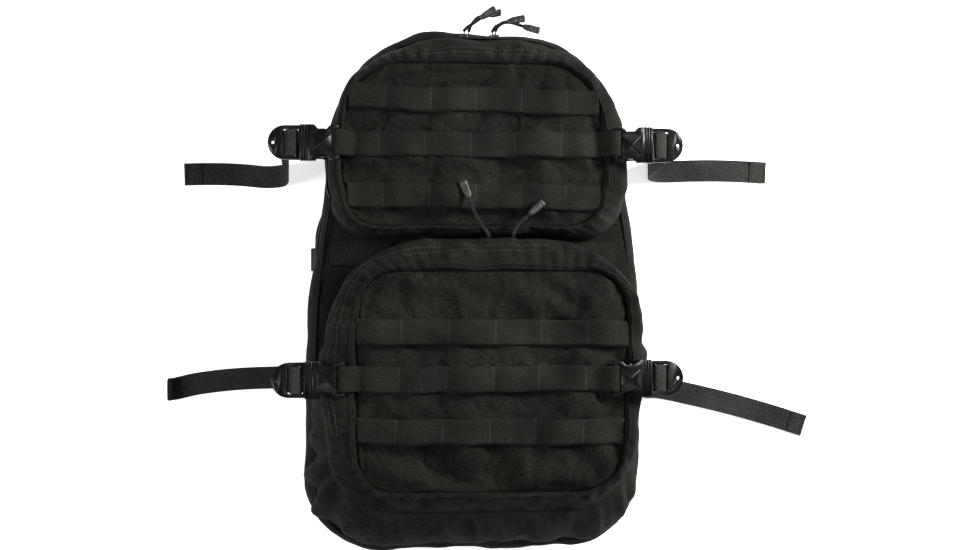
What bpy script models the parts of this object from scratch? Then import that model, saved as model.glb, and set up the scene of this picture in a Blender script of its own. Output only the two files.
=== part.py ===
"""Trauma backpack lying on its back: +Z out of its front, +Y towards its top, +X to the
wearer's right.

Metres. The origin is the middle of the spine pad's outer face, on the surface the pack lies on.
"""

import math

import bmesh
import bpy
from mathutils import Matrix, Vector

# ---- driving dimensions -------------------------------------------------------------------
GAP = 0.0003                  # running gap between neighbouring pieces
WALL = 0.003                  # padded nylon wall
WEB_WIDTH = 0.0254            # one inch webbing
WEB_THICK = 0.0014
ARC_STEPS = 6                 # segments in each rounded corner

# Each outline is widest up to its waist, then narrows to its shoulder, where its top arc starts.
MAIN = dict(half=0.179, shoulder=0.150, waist=-0.020, bottom=-0.281, top=0.272, r_top=0.108, r_bottom=0.05)
UPPER = dict(half=0.152, shoulder=0.146, waist=0.110, bottom=0.0565, top=0.260, r_top=0.108, r_bottom=0.035)
LOWER = dict(half=0.165, shoulder=0.158, waist=-0.060, bottom=-0.228, top=0.045, r_top=0.083, r_bottom=0.035)
LOWER_BASE_BOTTOM = -0.272    # the lower pocket's underside slopes back to the body

BACK_Z = 0.014                # outer face of the back panel; pads fill from 0 to here
BACK_TOP_Z = 0.024
FRAME_SHEET = 0.0015
MAIN_ZIP_Z = 0.077            # parting line of the main compartment
MAIN_FRONT_Z = 0.1155
UPPER_ZIP_Z = 0.1368
UPPER_FRONT_Z = 0.165
LOWER_ZIP_Z = 0.1718
LOWER_FRONT_Z = 0.195

ROW_THICK = 0.0018
ROW_PITCH = 0.0545
UPPER_ROW_Y = 0.146           # middle row, the one that carries the buckles
LOWER_ROW_Y = -0.090
UPPER_ROW_HALF = 0.136
LOWER_ROW_HALF = 0.139

UPPER_BUCKLE_X = 0.171        # mating plane of the side release buckles
LOWER_BUCKLE_X = 0.164
BUCKLE_LIFT = 0.0085          # buckle's mid plane over the pocket's front

ZIP_TAPE = 0.0070
ZIP_PROUD = 0.0020
CORD_R = 0.0015
GRIP = (0.0075, 0.019, 0.0050)


# ---- scene and materials ------------------------------------------------------------------
for old in list(bpy.data.objects):
    bpy.data.objects.remove(old, do_unlink=True)


def material(name, colour, roughness, metallic=0.0):
    made = bpy.data.materials.new(name)
    made.use_nodes = True
    shader = made.node_tree.nodes["Principled BSDF"]
    shader.inputs["Base Color"].default_value = (*colour, 1.0)
    shader.inputs["Roughness"].default_value = roughness
    shader.inputs["Metallic"].default_value = metallic
    return made


SHELL = material("shell_nylon", (0.018, 0.018, 0.017), 0.85)
WEBBING = material("webbing", (0.022, 0.022, 0.021), 0.80)
MESH = material("air_mesh", (0.030, 0.030, 0.030), 0.90)
PLASTIC = material("acetal", (0.020, 0.020, 0.020), 0.42)
SHEET = material("frame_polymer", (0.55, 0.56, 0.56), 0.50)
COIL = material("zip_coil", (0.025, 0.025, 0.025), 0.50)
ENAMEL = material("slider_enamel", (0.030, 0.030, 0.030), 0.35, 0.8)
CORD = material("paracord", (0.022, 0.022, 0.022), 0.80)
GRIPPER = material("grip_plastic", (0.090, 0.090, 0.088), 0.50)


# ---- shape helpers ------------------------------------------------------------------------
def finish(name, bm, mat):
    """A mesh object from bm, its faces pointing out."""
    bmesh.ops.recalc_face_normals(bm, faces=bm.faces)
    mesh = bpy.data.meshes.new(name)
    bm.to_mesh(mesh)
    bm.free()
    mesh.materials.append(mat)
    obj = bpy.data.objects.new(name, mesh)
    bpy.context.scene.collection.objects.link(obj)
    return obj


def loft(name, loops, mat, cyclic=False):
    """Joins loops of equally many points; the ends are capped, or meet when cyclic."""
    bm = bmesh.new()
    rings = [[bm.verts.new(p) for p in loop] for loop in loops]
    count = len(rings[0])
    pairs = list(zip(rings, rings[1:]))
    if cyclic:
        pairs.append((rings[-1], rings[0]))
    for low, high in pairs:
        for i in range(count):
            j = (i + 1) % count
            bm.faces.new((low[i], low[j], high[j], high[i]))
    if not cyclic:
        bm.faces.new(rings[0])
        bm.faces.new(rings[-1])
    return finish(name, bm, mat)


def outline(half, shoulder, waist, bottom, top, r_top, r_bottom, inset=0.0):
    """A rounded rectangle that narrows towards a round top, counter-clockwise from lower right."""
    corners = (
        (half - r_bottom, bottom + r_bottom, r_bottom, -90),
        (shoulder - r_top, top - r_top, r_top, 0),
        (-shoulder + r_top, top - r_top, r_top, 90),
        (-half + r_bottom, bottom + r_bottom, r_bottom, 180),
    )
    points = []
    for cx, cy, radius, start in corners:
        if start == 0:
            points.append((half - inset, waist))
        if start == 180:
            points.append((inset - half, waist))
        for step in range(ARC_STEPS + 1):
            a = math.radians(start + 90 * step / ARC_STEPS)
            reach = radius - inset
            points.append((cx + reach * math.cos(a), cy + reach * math.sin(a)))
    return points


def at_z(points, z):
    return [(x, y, z) for x, y in points]


def plate(name, points, z0, z1, mat):
    return loft(name, [at_z(points, z0), at_z(points, z1)], mat)


def ring(name, base, top, z0, z1, mat):
    """A wall standing on outline base and ending at outline top, open at both ends."""
    loops = [
        at_z(outline(**base), z0),
        at_z(outline(**top), z1),
        at_z(outline(**top, inset=WALL), z1),
        at_z(outline(**base, inset=WALL), z0),
    ]
    return loft(name, loops, mat, cyclic=True)


def tray(name, shape, z_rim, z_front, mat):
    """A panel with a rim turned back from it, open behind."""
    inner = outline(**shape, inset=WALL)
    outer = outline(**shape)
    loops = [
        at_z(inner, z_front - WALL),
        at_z(inner, z_rim),
        at_z(outer, z_rim),
        at_z(outer, z_front),
    ]
    return loft(name, loops, mat)


def zip_band(name, shape, start_y, z_line):
    """Zip tape and coil outside the wall, over the top and down both sides to start_y."""
    inner = [p for p in outline(**shape, inset=-GAP)]
    outer = [p for p in outline(**shape, inset=-GAP - ZIP_PROUD)]
    kept = [(a, b) for a, b in zip(inner, outer) if a[1] > shape["bottom"] + shape["r_bottom"] + 0.001]
    right, left = kept[0], kept[-1]
    kept.insert(0, ((right[0][0], start_y), (right[1][0], start_y)))
    kept.append(((left[0][0], start_y), (left[1][0], start_y)))
    z0, z1 = z_line - ZIP_TAPE - GAP, z_line - GAP
    loops = [[(*a, z0), (*b, z0), (*b, z1), (*a, z1)] for a, b in kept]
    return loft(name, loops, COIL)


def smooth(points, steps):
    """Points read from a Catmull-Rom curve through the given ones."""
    knots = [Vector(p) for p in points]
    knots = [2 * knots[0] - knots[1], *knots, 2 * knots[-1] - knots[-2]]
    out = []
    for a, b, c, d in zip(knots, knots[1:], knots[2:], knots[3:]):
        for step in range(steps):
            t = step / steps
            out.append(
                0.5 * (2 * b + (c - a) * t + (2 * a - 5 * b + 4 * c - d) * t * t
                       + (3 * b - a - 3 * c + d) * t ** 3)
            )
    out.append(knots[-2])
    return out


def tangents(points):
    last = len(points) - 1
    return [
        (points[min(i + 1, last)] - points[max(i - 1, 0)]).normalized()
        for i in range(len(points))
    ]


def ribbon(name, points, mat=WEBBING, width=WEB_WIDTH, thick=WEB_THICK, swing=0.0):
    """Flat strap along points; its width lies along Y, and turns by swing over its last third."""
    loops = []
    last = len(points) - 1
    for i, (p, t) in enumerate(zip(points, tangents(points))):
        turn = swing * max(0.0, 3 * i / last - 2)
        across = Vector((-math.sin(turn), math.cos(turn), 0.0))
        across = (across - t * across.dot(t)).normalized() * width / 2
        up = t.cross(across).normalized() * thick / 2
        loops.append([p - across - up, p + across - up, p + across + up, p - across + up])
    return loft(name, loops, mat)


def tube(name, points, radius, mat, sides=8):
    loops = []
    for p, t in zip(points, tangents(points)):
        side = t.cross(Vector((0, 0, 1)))
        if side.length < 0.01:
            side = t.cross(Vector((0, 1, 0)))
        side.normalize()
        up = side.cross(t)
        turns = [2 * math.pi * k / sides for k in range(sides)]
        loops.append([p + radius * (side * math.cos(a) + up * math.sin(a)) for a in turns])
    return loft(name, loops, mat)


def prism(name, points, z0, z1, mat):
    return loft(name, [at_z(points, z0), at_z(points, z1)], mat)


def block(name, low, high, mat, bevel=0.0):
    corners = [(low[0], low[1]), (high[0], low[1]), (high[0], high[1]), (low[0], high[1])]
    made = prism(name, corners, low[2], high[2], mat)
    if bevel:
        edges = made.modifiers.new("soft_edges", "BEVEL")
        edges.width = bevel
        edges.segments = 2
        bake(made)
    return made


def bake(obj):
    """Makes the modifiers' result the object's own mesh."""
    graph = bpy.context.evaluated_depsgraph_get()
    mesh = bpy.data.meshes.new_from_object(obj.evaluated_get(graph))
    obj.modifiers.clear()
    obj.data = mesh


def combine(obj, tools, operation):
    for tool in tools:
        step = obj.modifiers.new(operation, "BOOLEAN")
        step.operation = operation
        step.object = tool
        bpy.context.view_layer.update()
        bake(obj)
        bpy.data.objects.remove(tool, do_unlink=True)
    return obj


def place(obj, matrix):
    """Moves a piece built at the origin; a mirrored one is turned right side out again."""
    obj.data.transform(matrix)
    if matrix.determinant() < 0:
        obj.data.flip_normals()
    return obj


# ---- side release buckle, built with its mating plane at u = 0, male towards +u -----------
FEMALE_LENGTH = 0.031
SOCKET_DEPTH = 0.0215
SOCKET_HALF = 0.0146
MALE_LENGTH = 0.040
RELEASE_TRAVEL = 0.030


def female_buckle(name):
    side = [
        (0.0, 0.0180), (-0.0065, 0.0180), (-0.0095, 0.0145), (-0.0135, 0.0122),
        (-0.0180, 0.0128), (-0.0215, 0.0165), (-0.0250, 0.0172), (-FEMALE_LENGTH, 0.0172),
    ]
    points = side + [(u, -v) for u, v in reversed(side)]
    body = prism(name, points, -0.0055, 0.0055, PLASTIC)
    socket = block("cut_socket", (-SOCKET_DEPTH, -SOCKET_HALF, -0.0034), (0.01, SOCKET_HALF, 0.0034), PLASTIC)
    slot = block("cut_slot", (-0.0283, -0.0136, -0.01), (-0.0236, 0.0136, 0.01), PLASTIC)
    thin = block("cut_bar", (-0.05, -0.0136, 0.0015), (-0.0282, 0.0136, 0.01), PLASTIC)
    low = block("cut_bar_low", (-0.05, -0.0136, -0.01), (-0.0282, 0.0136, -0.0015), PLASTIC)
    combine(body, [socket, slot, thin, low], "DIFFERENCE")
    ribs = []
    reach = 0.0128
    for sign in (-1, 1):
        rib = block("rib", (-reach, -0.0005, 0.0050), (reach, 0.0005, 0.0062), PLASTIC)
        turn = Matrix.Rotation(sign * math.radians(42), 4, "Z")
        place(rib, Matrix.Translation((-0.0138, 0, 0)) @ turn)
        ribs.append(rib)
    return combine(body, ribs, "UNION")


def male_buckle(name):
    end_centre = MALE_LENGTH - 0.0165
    nose = [(end_centre + 0.0165 * math.cos(a), 0.0172 * math.sin(a))
            for a in (math.radians(90 - 180 * k / 12) for k in range(1, 12))]
    arm = [
        (-0.0195, 0.0098), (-0.0190, 0.0135), (-0.0165, 0.0142), (-0.0110, 0.0142),
        (-0.0100, 0.0122), (0.0004, 0.0122), (0.0004, 0.0175), (end_centre, 0.0172),
    ]
    inner = [
        (-0.0140, -0.0030), (-0.0140, 0.0030), (0.0004, 0.0036), (0.0004, 0.0088),
        (-0.0150, 0.0088),
    ]
    upper = inner[1:] + arm
    lower = [(u, -v) for u, v in reversed(upper)]
    body = prism(name, upper + nose + lower, -0.0024, 0.0024, PLASTIC)
    slots = [
        block("cut_slot", (0.0095, -0.0136, -0.01), (0.0135, 0.0136, 0.01), PLASTIC),
        block("cut_slot", (0.0205, -0.0136, -0.01), (0.0245, 0.0136, 0.01), PLASTIC),
        block("cut_bar", (0.0134, -0.0136, 0.0012), (0.0206, 0.0136, 0.01), PLASTIC),
        block("cut_bar", (0.0134, -0.0136, -0.01), (0.0206, 0.0136, -0.0012), PLASTIC),
        hole_cutter(0.0350, 0.0018),
    ]
    combine(body, slots, "DIFFERENCE")
    ribs = [
        block("rib", (u, -0.0182, -0.0052), (u + 0.0016, 0.0182, 0.0052), PLASTIC)
        for u in (0.0005, 0.0031, 0.0057)
    ]
    core = block("core", (0.0004, -0.0170, -0.0044), (0.0078, 0.0170, 0.0044), PLASTIC)
    return combine(body, [core, *ribs], "UNION")


def hole_cutter(u, radius, sides=12):
    turns = [2 * math.pi * k / sides for k in range(sides)]
    points = [(u + radius * math.cos(a), radius * math.sin(a)) for a in turns]
    return prism("cut_hole", points, -0.01, 0.01, PLASTIC)


def buckle_frame(side, x, y, z):
    """Local u, v, z to the pack's frame, mirrored on the -X side."""
    mirror = Matrix.Diagonal((side, 1, 1, 1))
    return Matrix.Translation((side * x, y, z)) @ mirror


# The wrap passes up through one slot, over the lock's bar and down the other.
WRAP = (
    (0.0112, -0.0046), (0.0112, -0.0010), (0.0122, 0.0018), (0.0150, 0.0026),
    (0.0190, 0.0026), (0.0216, 0.0018), (0.0227, -0.0010), (0.0234, -0.0046),
)


def strap_tail(name, side, x, y, z, far, reach_y, swing):
    """Strap through the lock, straight down to the surface and out along it to far."""
    floor = WEB_THICK / 2 + GAP
    route = [(x + u, y, z + w) for u, w in WRAP]
    drop = x + 0.0285
    route += [
        (drop, y, z - 0.016),
        (drop + 0.0040, y, 0.62 * z),
        (drop + 0.0045, y, 0.34 * z),
        (drop + 0.0070, y, 0.14 * z),
        (drop + 0.0160, y, floor + 0.0065),
        (drop + 0.0340, y + 0.04 * reach_y, floor + 0.0004),
        (drop + 0.0560, y + 0.16 * reach_y, floor),
    ]
    start = drop + 0.056
    for share in (0.33, 0.67, 1.0):
        route.append((start + (far - start) * share, y + reach_y * (0.16 + 0.84 * share), floor))
    points = smooth(route, 3)
    made = ribbon(name, points, swing=swing)
    return place(made, Matrix.Diagonal((side, 1, 1, 1)))


def strap_anchor(name, side, x, y, z, wall_x, base_z):
    """The sewn part of the strap, from the seam at the pocket's foot up to its lock."""
    route = [
        (x + 0.0112, y, z - 0.0060), (x + 0.0100, y, z - 0.0110), (x + 0.0075, y, z - 0.0200),
        (wall_x + 0.0036, y, 0.5 * (z + base_z)), (wall_x + 0.0030, y, base_z + 0.004),
    ]
    made = ribbon(name, smooth(route, 3))
    return place(made, Matrix.Diagonal((side, 1, 1, 1)))


def webbing_row(name, y, half, z):
    low = (-half, y - WEB_WIDTH / 2, z + GAP)
    high = (half, y + WEB_WIDTH / 2, z + GAP + ROW_THICK)
    return block(name, low, high, WEBBING)


def buckle_row(name, y, half, z, buckle_x, buckle_z):
    """A row whose two ends rise, pass round the buckles' bars and fold back underneath."""
    bar_x = buckle_x - FEMALE_LENGTH + 0.0014
    lay = z + GAP + WEB_THICK / 2
    end = [
        (half - 0.022, lay), (half - 0.014, lay + 0.0006), (bar_x - 0.0066, buckle_z + 0.0016),
        (bar_x - 0.0012, buckle_z + 0.0027), (bar_x + 0.0020, buckle_z + 0.0022),
        (bar_x + 0.0029, buckle_z), (bar_x + 0.0020, buckle_z - 0.0022),
        (bar_x - 0.0012, buckle_z - 0.0027), (bar_x - 0.0046, buckle_z - 0.0018),
    ]
    right = [(u, y, w) for u, w in end]
    left = [(-u, y, w) for u, w in reversed(end)]
    return ribbon(name, smooth(left, 3) + smooth(right, 3))


# ---- zip sliders and pulls ----------------------------------------------------------------
def slider(name, x, y, z):
    """Slider on the outside of a top wall: its body, and the bail that the cord passes through."""
    width, depth, height = 0.0045, 0.0028, 0.0034
    shape = [(-width, -height), (width, -height), (width * 0.7, height), (-width * 0.7, height)]
    loops = [[(x + u, y + d, z + w) for u, w in shape] for d in (0.0, depth)]
    body = loft(name, loops, ENAMEL)
    arch = [(x, y + depth - 0.0006, z - 0.0026), (x, y + depth + 0.0018, z - 0.0018),
            (x, y + depth + 0.0024, z), (x, y + depth + 0.0018, z + 0.0018),
            (x, y + depth - 0.0006, z + 0.0026)]
    bail = tube("bail", [Vector(p) for p in arch], 0.0008, ENAMEL, sides=6)
    return combine(body, [bail], "UNION")


def pull(name, route):
    """Cord from the slider to its moulded grip, which lies in line with the cord's end."""
    points = smooth(route, 4)
    tube(name + "_cord", points, CORD_R, CORD)
    end, before = points[-1], points[-3]
    along = (end - before).normalized()
    flat = Vector((0, 0, 1))
    across = flat.cross(along).normalized()
    face = along.cross(across).normalized()
    width, length, thick = GRIP
    grip = block(name + "_grip", (-width / 2, 0, -thick / 2), (width / 2, length, thick / 2),
                 GRIPPER, bevel=0.0012)
    axes = Matrix((across, along, face)).transposed().to_4x4()
    place(grip, Matrix.Translation(end + along * GAP) @ axes)


# ---- back and main compartment ------------------------------------------------------------
def back():
    plate("back_panel", outline(**MAIN), BACK_Z, BACK_TOP_Z, MESH)
    sheet = dict(MAIN, half=0.150, shoulder=0.125, bottom=-0.250, top=0.245, r_top=0.09, r_bottom=0.03)
    z = BACK_TOP_Z + GAP
    plate("frame_sheet", outline(**sheet), z, z + FRAME_SHEET, SHEET)
    lumbar = dict(half=0.080, shoulder=0.080, waist=-0.190, bottom=-0.255, top=-0.125, r_top=0.03, r_bottom=0.03)
    plate("lumbar_pad", outline(**lumbar), 0.0, BACK_Z - GAP, MESH)
    spine = dict(half=0.030, shoulder=0.030, waist=0.0, bottom=-0.115, top=0.200, r_top=0.02, r_bottom=0.02)
    plate("spine_pad", outline(**spine), 0.0, BACK_Z - GAP, MESH)
    bow = [(-0.065, 0.0128), (-0.050, 0.0120), (-0.030, 0.0040), (0.0, 0.0024),
           (0.030, 0.0040), (0.050, 0.0120), (0.065, 0.0128)]
    ribbon("haul_handle", smooth([(x, 0.244, z) for x, z in bow], 3))


def shoulder_strap(side, tag):
    """Padded strap lying against the back, its lock, and the webbing to the lower corner."""
    route = [(0.052, 0.224), (0.058, 0.150), (0.072, 0.075), (0.086, 0.010), (0.096, -0.050)]
    points = smooth([(side * x, y, 0.0064) for x, y in route], 3)
    loops = []
    for p, t in zip(points, tangents(points)):
        across = Vector((-t.y, t.x, 0)) * 0.021
        lift = Vector((0, 0, 0.0062))
        loops.append([p - across - lift * 0.6, p - across * 0.8 - lift, p + across * 0.8 - lift,
                      p + across - lift * 0.6, p + across + lift * 0.6, p + across * 0.8 + lift,
                      p - across * 0.8 + lift, p - across + lift * 0.6])
    loft("shoulder_strap_" + tag, loops, MESH)
    lock = block("shoulder_lock_" + tag, (-0.017, -0.010, -0.0020), (0.017, 0.010, 0.0020), PLASTIC)
    slots = [block("cut", (-0.0135, v, -0.01), (0.0135, v + 0.004, 0.01), PLASTIC) for v in (-0.0065, 0.0025)]
    combine(lock, slots, "DIFFERENCE")
    lean = Matrix.Rotation(side * math.radians(14), 4, "Z")
    place(lock, Matrix.Translation((side * 0.0995, -0.0625, 0.0060)) @ lean)
    ends = [(0.1045, -0.0745), (0.1120, -0.110), (0.1290, -0.170), (0.1440, -0.222)]
    path = smooth([(side * x, y, 0.0060) for x, y in ends], 3)
    loops = []
    for p, t in zip(path, tangents(path)):
        across = Vector((-t.y, t.x, 0)) * WEB_WIDTH / 2
        lift = Vector((0, 0, WEB_THICK / 2))
        loops.append([p - across - lift, p + across - lift, p + across + lift, p - across + lift])
    loft("shoulder_web_" + tag, loops, WEBBING)


def main_compartment():
    ring("main_gusset", MAIN, MAIN, BACK_TOP_Z + GAP, MAIN_ZIP_Z - GAP, SHELL)
    zip_band("main_zip", MAIN, -0.215, MAIN_ZIP_Z - GAP)
    tray("main_panel", MAIN, MAIN_ZIP_Z, MAIN_FRONT_Z, SHELL)


def pockets():
    base = MAIN_FRONT_Z + GAP
    ring("upper_gusset", UPPER, UPPER, base, UPPER_ZIP_Z - GAP, SHELL)
    zip_band("upper_zip", UPPER, 0.090, UPPER_ZIP_Z - GAP)
    tray("upper_cover", UPPER, UPPER_ZIP_Z, UPPER_FRONT_Z, SHELL)
    foot = dict(LOWER, bottom=LOWER_BASE_BOTTOM)
    ring("lower_gusset", foot, LOWER, base, LOWER_ZIP_Z - GAP, SHELL)
    zip_band("lower_zip", LOWER, -0.150, LOWER_ZIP_Z - GAP)
    tray("lower_cover", LOWER, LOWER_ZIP_Z, LOWER_FRONT_Z, SHELL)


def rows():
    for level, y, half, front, x in (
        ("upper", UPPER_ROW_Y, UPPER_ROW_HALF, UPPER_FRONT_Z, UPPER_BUCKLE_X),
        ("lower", LOWER_ROW_Y, LOWER_ROW_HALF, LOWER_FRONT_Z, LOWER_BUCKLE_X),
    ):
        top_half = half - 0.012 if level == "upper" else half - 0.002
        webbing_row(level + "_row_top", y + ROW_PITCH * 0.86, top_half, front)
        buckle_row(level + "_row_middle", y, half, front, x, front + BUCKLE_LIFT)
        webbing_row(level + "_row_bottom", y - ROW_PITCH * 0.96, half, front)


def compression_straps():
    """Four straps: level, side, tail end, how far the tail swings along Y, its turn."""
    for level, side, far, reach_y, swing in (
        ("upper", -1, 0.335, -0.014, 0.0),
        ("upper", 1, 0.352, -0.008, 0.0),
        ("lower", -1, 0.348, -0.016, 0.0),
        ("lower", 1, 0.396, -0.066, -0.34),
    ):
        tag = f"{level}_{'left' if side < 0 else 'right'}"
        if level == "upper":
            x, y, z, wall = UPPER_BUCKLE_X, UPPER_ROW_Y, UPPER_FRONT_Z + BUCKLE_LIFT, UPPER["half"]
        else:
            x, y, z, wall = LOWER_BUCKLE_X, LOWER_ROW_Y, LOWER_FRONT_Z + BUCKLE_LIFT, LOWER["half"]
        frame = buckle_frame(side, x, y, z)
        place(female_buckle("buckle_socket_" + tag), frame)
        place(male_buckle("buckle_plug_" + tag), frame)
        strap_tail("strap_tail_" + tag, side, x, y, z, far, reach_y, swing)
        strap_anchor("strap_anchor_" + tag, side, x, y, z, wall + 0.0025, MAIN_FRONT_Z)


def zips():
    proud = GAP + ZIP_PROUD + GAP
    main_y, upper_y, lower_y = (s["top"] + proud for s in (MAIN, UPPER, LOWER))
    lift = 0.0040
    z, y = MAIN_ZIP_Z - lift, main_y + 0.0072
    over = MAIN_FRONT_Z + 0.0075
    slider("main_slider_left", -0.004, main_y, z)
    pull("main_pull_left", [(-0.004, y, z), (-0.002, y + 0.003, z + 0.020), (0.004, y + 0.006, z + 0.042),
                            (0.015, y + 0.006, z + 0.055)])
    slider("main_slider_right", 0.022, main_y, z)
    pull("main_pull_right", [(0.022, y, z), (0.025, y + 0.001, z + 0.024), (0.036, y, over - 0.003),
                             (0.053, y - 0.005, over)])
    z, y = UPPER_ZIP_Z - lift, upper_y + 0.0072
    slider("upper_slider_left", -0.012, upper_y, z)
    pull("upper_pull_left", [(-0.012, y, z), (-0.009, y + 0.002, z + 0.006), (-0.002, y + 0.006, z + 0.011),
                             (0.006, y + 0.011, z + 0.014)])
    slider("upper_slider_right", 0.021, upper_y, z)
    pull("upper_pull_right", [(0.021, y, z), (0.023, y + 0.003, z + 0.005), (0.028, y + 0.007, z + 0.008),
                              (0.035, y + 0.0085, z + 0.009)])
    z, y = LOWER_ZIP_Z - lift, lower_y + 0.0046
    over = UPPER_FRONT_Z + 0.0072
    for tag, x, tip in (("left", 0.010, (-0.020, 0.040)), ("right", 0.036, (0.018, 0.024))):
        slider("lower_slider_" + tag, x, lower_y, z)
        pull("lower_pull_" + tag, [(x, y - 0.001, z + 0.0058), (x, y + 0.002, over + 0.0010),
                                   (x + 0.45 * tip[0], y + 0.5 * tip[1], over),
                                   (x + tip[0], y + tip[1], over)])


back()
shoulder_strap(1, "right")
shoulder_strap(-1, "left")
main_compartment()
pockets()
rows()
compression_straps()
zips()
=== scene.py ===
import math

import bmesh
import bpy
import numpy as np
from mathutils import Matrix, Vector
from mathutils.bvhtree import BVHTree


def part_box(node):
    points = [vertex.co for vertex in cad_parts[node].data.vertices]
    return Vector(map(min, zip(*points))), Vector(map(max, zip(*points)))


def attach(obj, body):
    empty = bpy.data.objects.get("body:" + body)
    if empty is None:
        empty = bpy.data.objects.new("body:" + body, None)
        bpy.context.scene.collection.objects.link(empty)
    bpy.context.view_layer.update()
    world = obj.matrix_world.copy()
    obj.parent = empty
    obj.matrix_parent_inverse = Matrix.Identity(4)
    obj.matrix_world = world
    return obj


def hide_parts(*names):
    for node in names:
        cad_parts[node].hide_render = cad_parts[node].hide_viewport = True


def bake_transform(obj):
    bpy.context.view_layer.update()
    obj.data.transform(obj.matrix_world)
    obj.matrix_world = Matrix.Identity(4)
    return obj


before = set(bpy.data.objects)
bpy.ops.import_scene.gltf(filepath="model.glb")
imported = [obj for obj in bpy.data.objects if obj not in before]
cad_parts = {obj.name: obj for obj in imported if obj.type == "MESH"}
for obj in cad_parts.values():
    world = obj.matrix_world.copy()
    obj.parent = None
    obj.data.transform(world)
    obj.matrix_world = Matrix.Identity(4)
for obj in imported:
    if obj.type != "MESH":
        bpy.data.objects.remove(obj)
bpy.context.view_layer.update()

SIDES = (("left", -1), ("right", 1))
ALONG_Y = (0.0, 1.0, 0.0)

WEB = 0.0254          # webbing width
WEB_T = 0.0015        # webbing thickness
CLOTH_T = 0.0022      # thickness of the stuffed walls
CORD_R = 0.0018       # radius of the pull cords
OVERHEAD = 0.4        # above and beside everything, where rays start

# An outline is widest at the waist, narrows to the shoulder under a round top, and to the foot.
MAIN = dict(half=0.1770, shoulder=0.150, foot=0.1745, waist=-0.060,
            bottom=-0.280, top=0.272, r_top=0.113, r_bottom=0.072)
UPPER_SHAPE = dict(half=0.1560, shoulder=0.155, foot=0.1520, waist=0.110,
                   bottom=0.0535, top=0.2590, r_top=0.121, r_bottom=0.038)
LOWER_SHAPE = dict(half=0.1640, shoulder=0.158, foot=0.1530, waist=-0.030,
                   bottom=-0.2280, top=0.0470, r_top=0.104, r_bottom=0.062)
# The whole pack leans a little to one side: how far along X, at these places along Y.
LEAN = ((-0.28, -0.20, -0.10, 0.0, 0.10), (-0.0030, -0.0026, 0.0, 0.0016, 0.0024))

ZIP_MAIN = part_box("main_panel")[0].z
FRONT_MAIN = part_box("main_panel")[1].z


class Pocket:
    """One front pocket's outlines and heights, and what sets its cloth apart from the other's."""

    def __init__(self, name, **values):
        self.name = name
        self.lid = name + "_lid"
        low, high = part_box(name + "_cover")
        self.zip_z, self.front_z = low.z, high.z
        for key, value in values.items():
            setattr(self, key, value)


# shift, panel_shift: how far the wall and the panel have slumped to the right.
# seed, panel_seed: their random fields. slumps: the wall hangs in folds along its underside.
# ripple: the height of the panel's waves.
# slack: how far the lid's band lies flat along the bottom instead of rolling over.
# roll, swell: how far that band bulges at the top and all round.
# tail_bow: how far each tail bows along Y on the floor.
# first_tacks, row_slopes: each row's first bar tack along X, and its slope.
# sags: depth, start and length along Y, limit and power of the front's fall towards each end.
# folds: from x, y to x, y, with a depth and a width.
UPPER = Pocket(
    "upper", shape=UPPER_SHAPE, foot=UPPER_SHAPE, shift=0.0, seed=21, slumps=False,
    panel=dict(half=0.1370, shoulder=0.133, foot=0.1320, waist=0.120,
               bottom=0.0625, top=0.2330, r_top=0.060, r_bottom=0.034),
    panel_shift=-0.0054, panel_seed=41, ripple=0.0020,
    slack=0.4, roll=0.0002, swell=0.0008, tail_bow=0.0018,
    first_tacks=(-0.0945, -0.1005, -0.0955), row_slopes=(-0.020, 0.0, -0.012),
    sags=((0.0105, 0.165, 0.080, 1.2, 1.5), (0.003, 0.10, -0.04, 1, 2)),
    folds=((-0.125, 0.198, 0.010, 0.224, 0.0046, 0.009),
           (-0.010, 0.222, 0.100, 0.212, 0.0040, 0.009),
           (-0.115, 0.168, 0.000, 0.176, 0.0026, 0.009),
           (0.010, 0.170, 0.125, 0.173, 0.0028, 0.009),
           (-0.125, 0.118, 0.020, 0.110, 0.0028, 0.010),
           (0.030, 0.122, 0.120, 0.116, 0.0020, 0.009),
           (-0.100, 0.074, 0.050, 0.070, 0.0034, 0.012),
           (0.045, 0.202, 0.125, 0.190, 0.0030, 0.009)))
LOWER = Pocket(
    "lower", shape=LOWER_SHAPE, shift=0.0055, seed=31, slumps=True,
    foot=dict(LOWER_SHAPE, half=0.1700, foot=0.1690, waist=-0.110, bottom=-0.2710, r_bottom=0.066),
    panel=dict(half=0.1385, shoulder=0.136, foot=0.1350, waist=-0.050,
               bottom=-0.2070, top=0.0190, r_top=0.040, r_bottom=0.044),
    panel_shift=0.0135, panel_seed=51, ripple=0.0015,
    slack=1.0, roll=0.0034, swell=0.0024, tail_bow=0.003,
    first_tacks=(-0.0770, -0.0795, -0.0830), row_slopes=(-0.010, 0.0, -0.008),
    sags=((0.0060, -0.125, -0.085, 1.2, 1.6), (0.002, -0.005, 0.04, 1, 2)),
    folds=((0.098, 0.000, 0.056, -0.080, 0.0036, 0.020),
           (0.066, -0.085, -0.005, -0.205, 0.0050, 0.023),
           (0.035, -0.035, 0.148, -0.068, 0.0030, 0.011),
           (-0.110, -0.062, 0.020, -0.058, 0.0020, 0.009),
           (-0.105, -0.155, -0.005, -0.198, 0.0036, 0.014),
           (0.070, -0.145, 0.125, -0.198, 0.0030, 0.014),
           (-0.120, 0.004, -0.020, -0.022, 0.0020, 0.013)))
POCKETS = (UPPER, LOWER)


# ---- camera, light and floor -------------------------------------------------------------
def link_object(name, data):
    obj = bpy.data.objects.new(name, data)
    bpy.context.scene.collection.objects.link(obj)
    return obj


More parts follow.
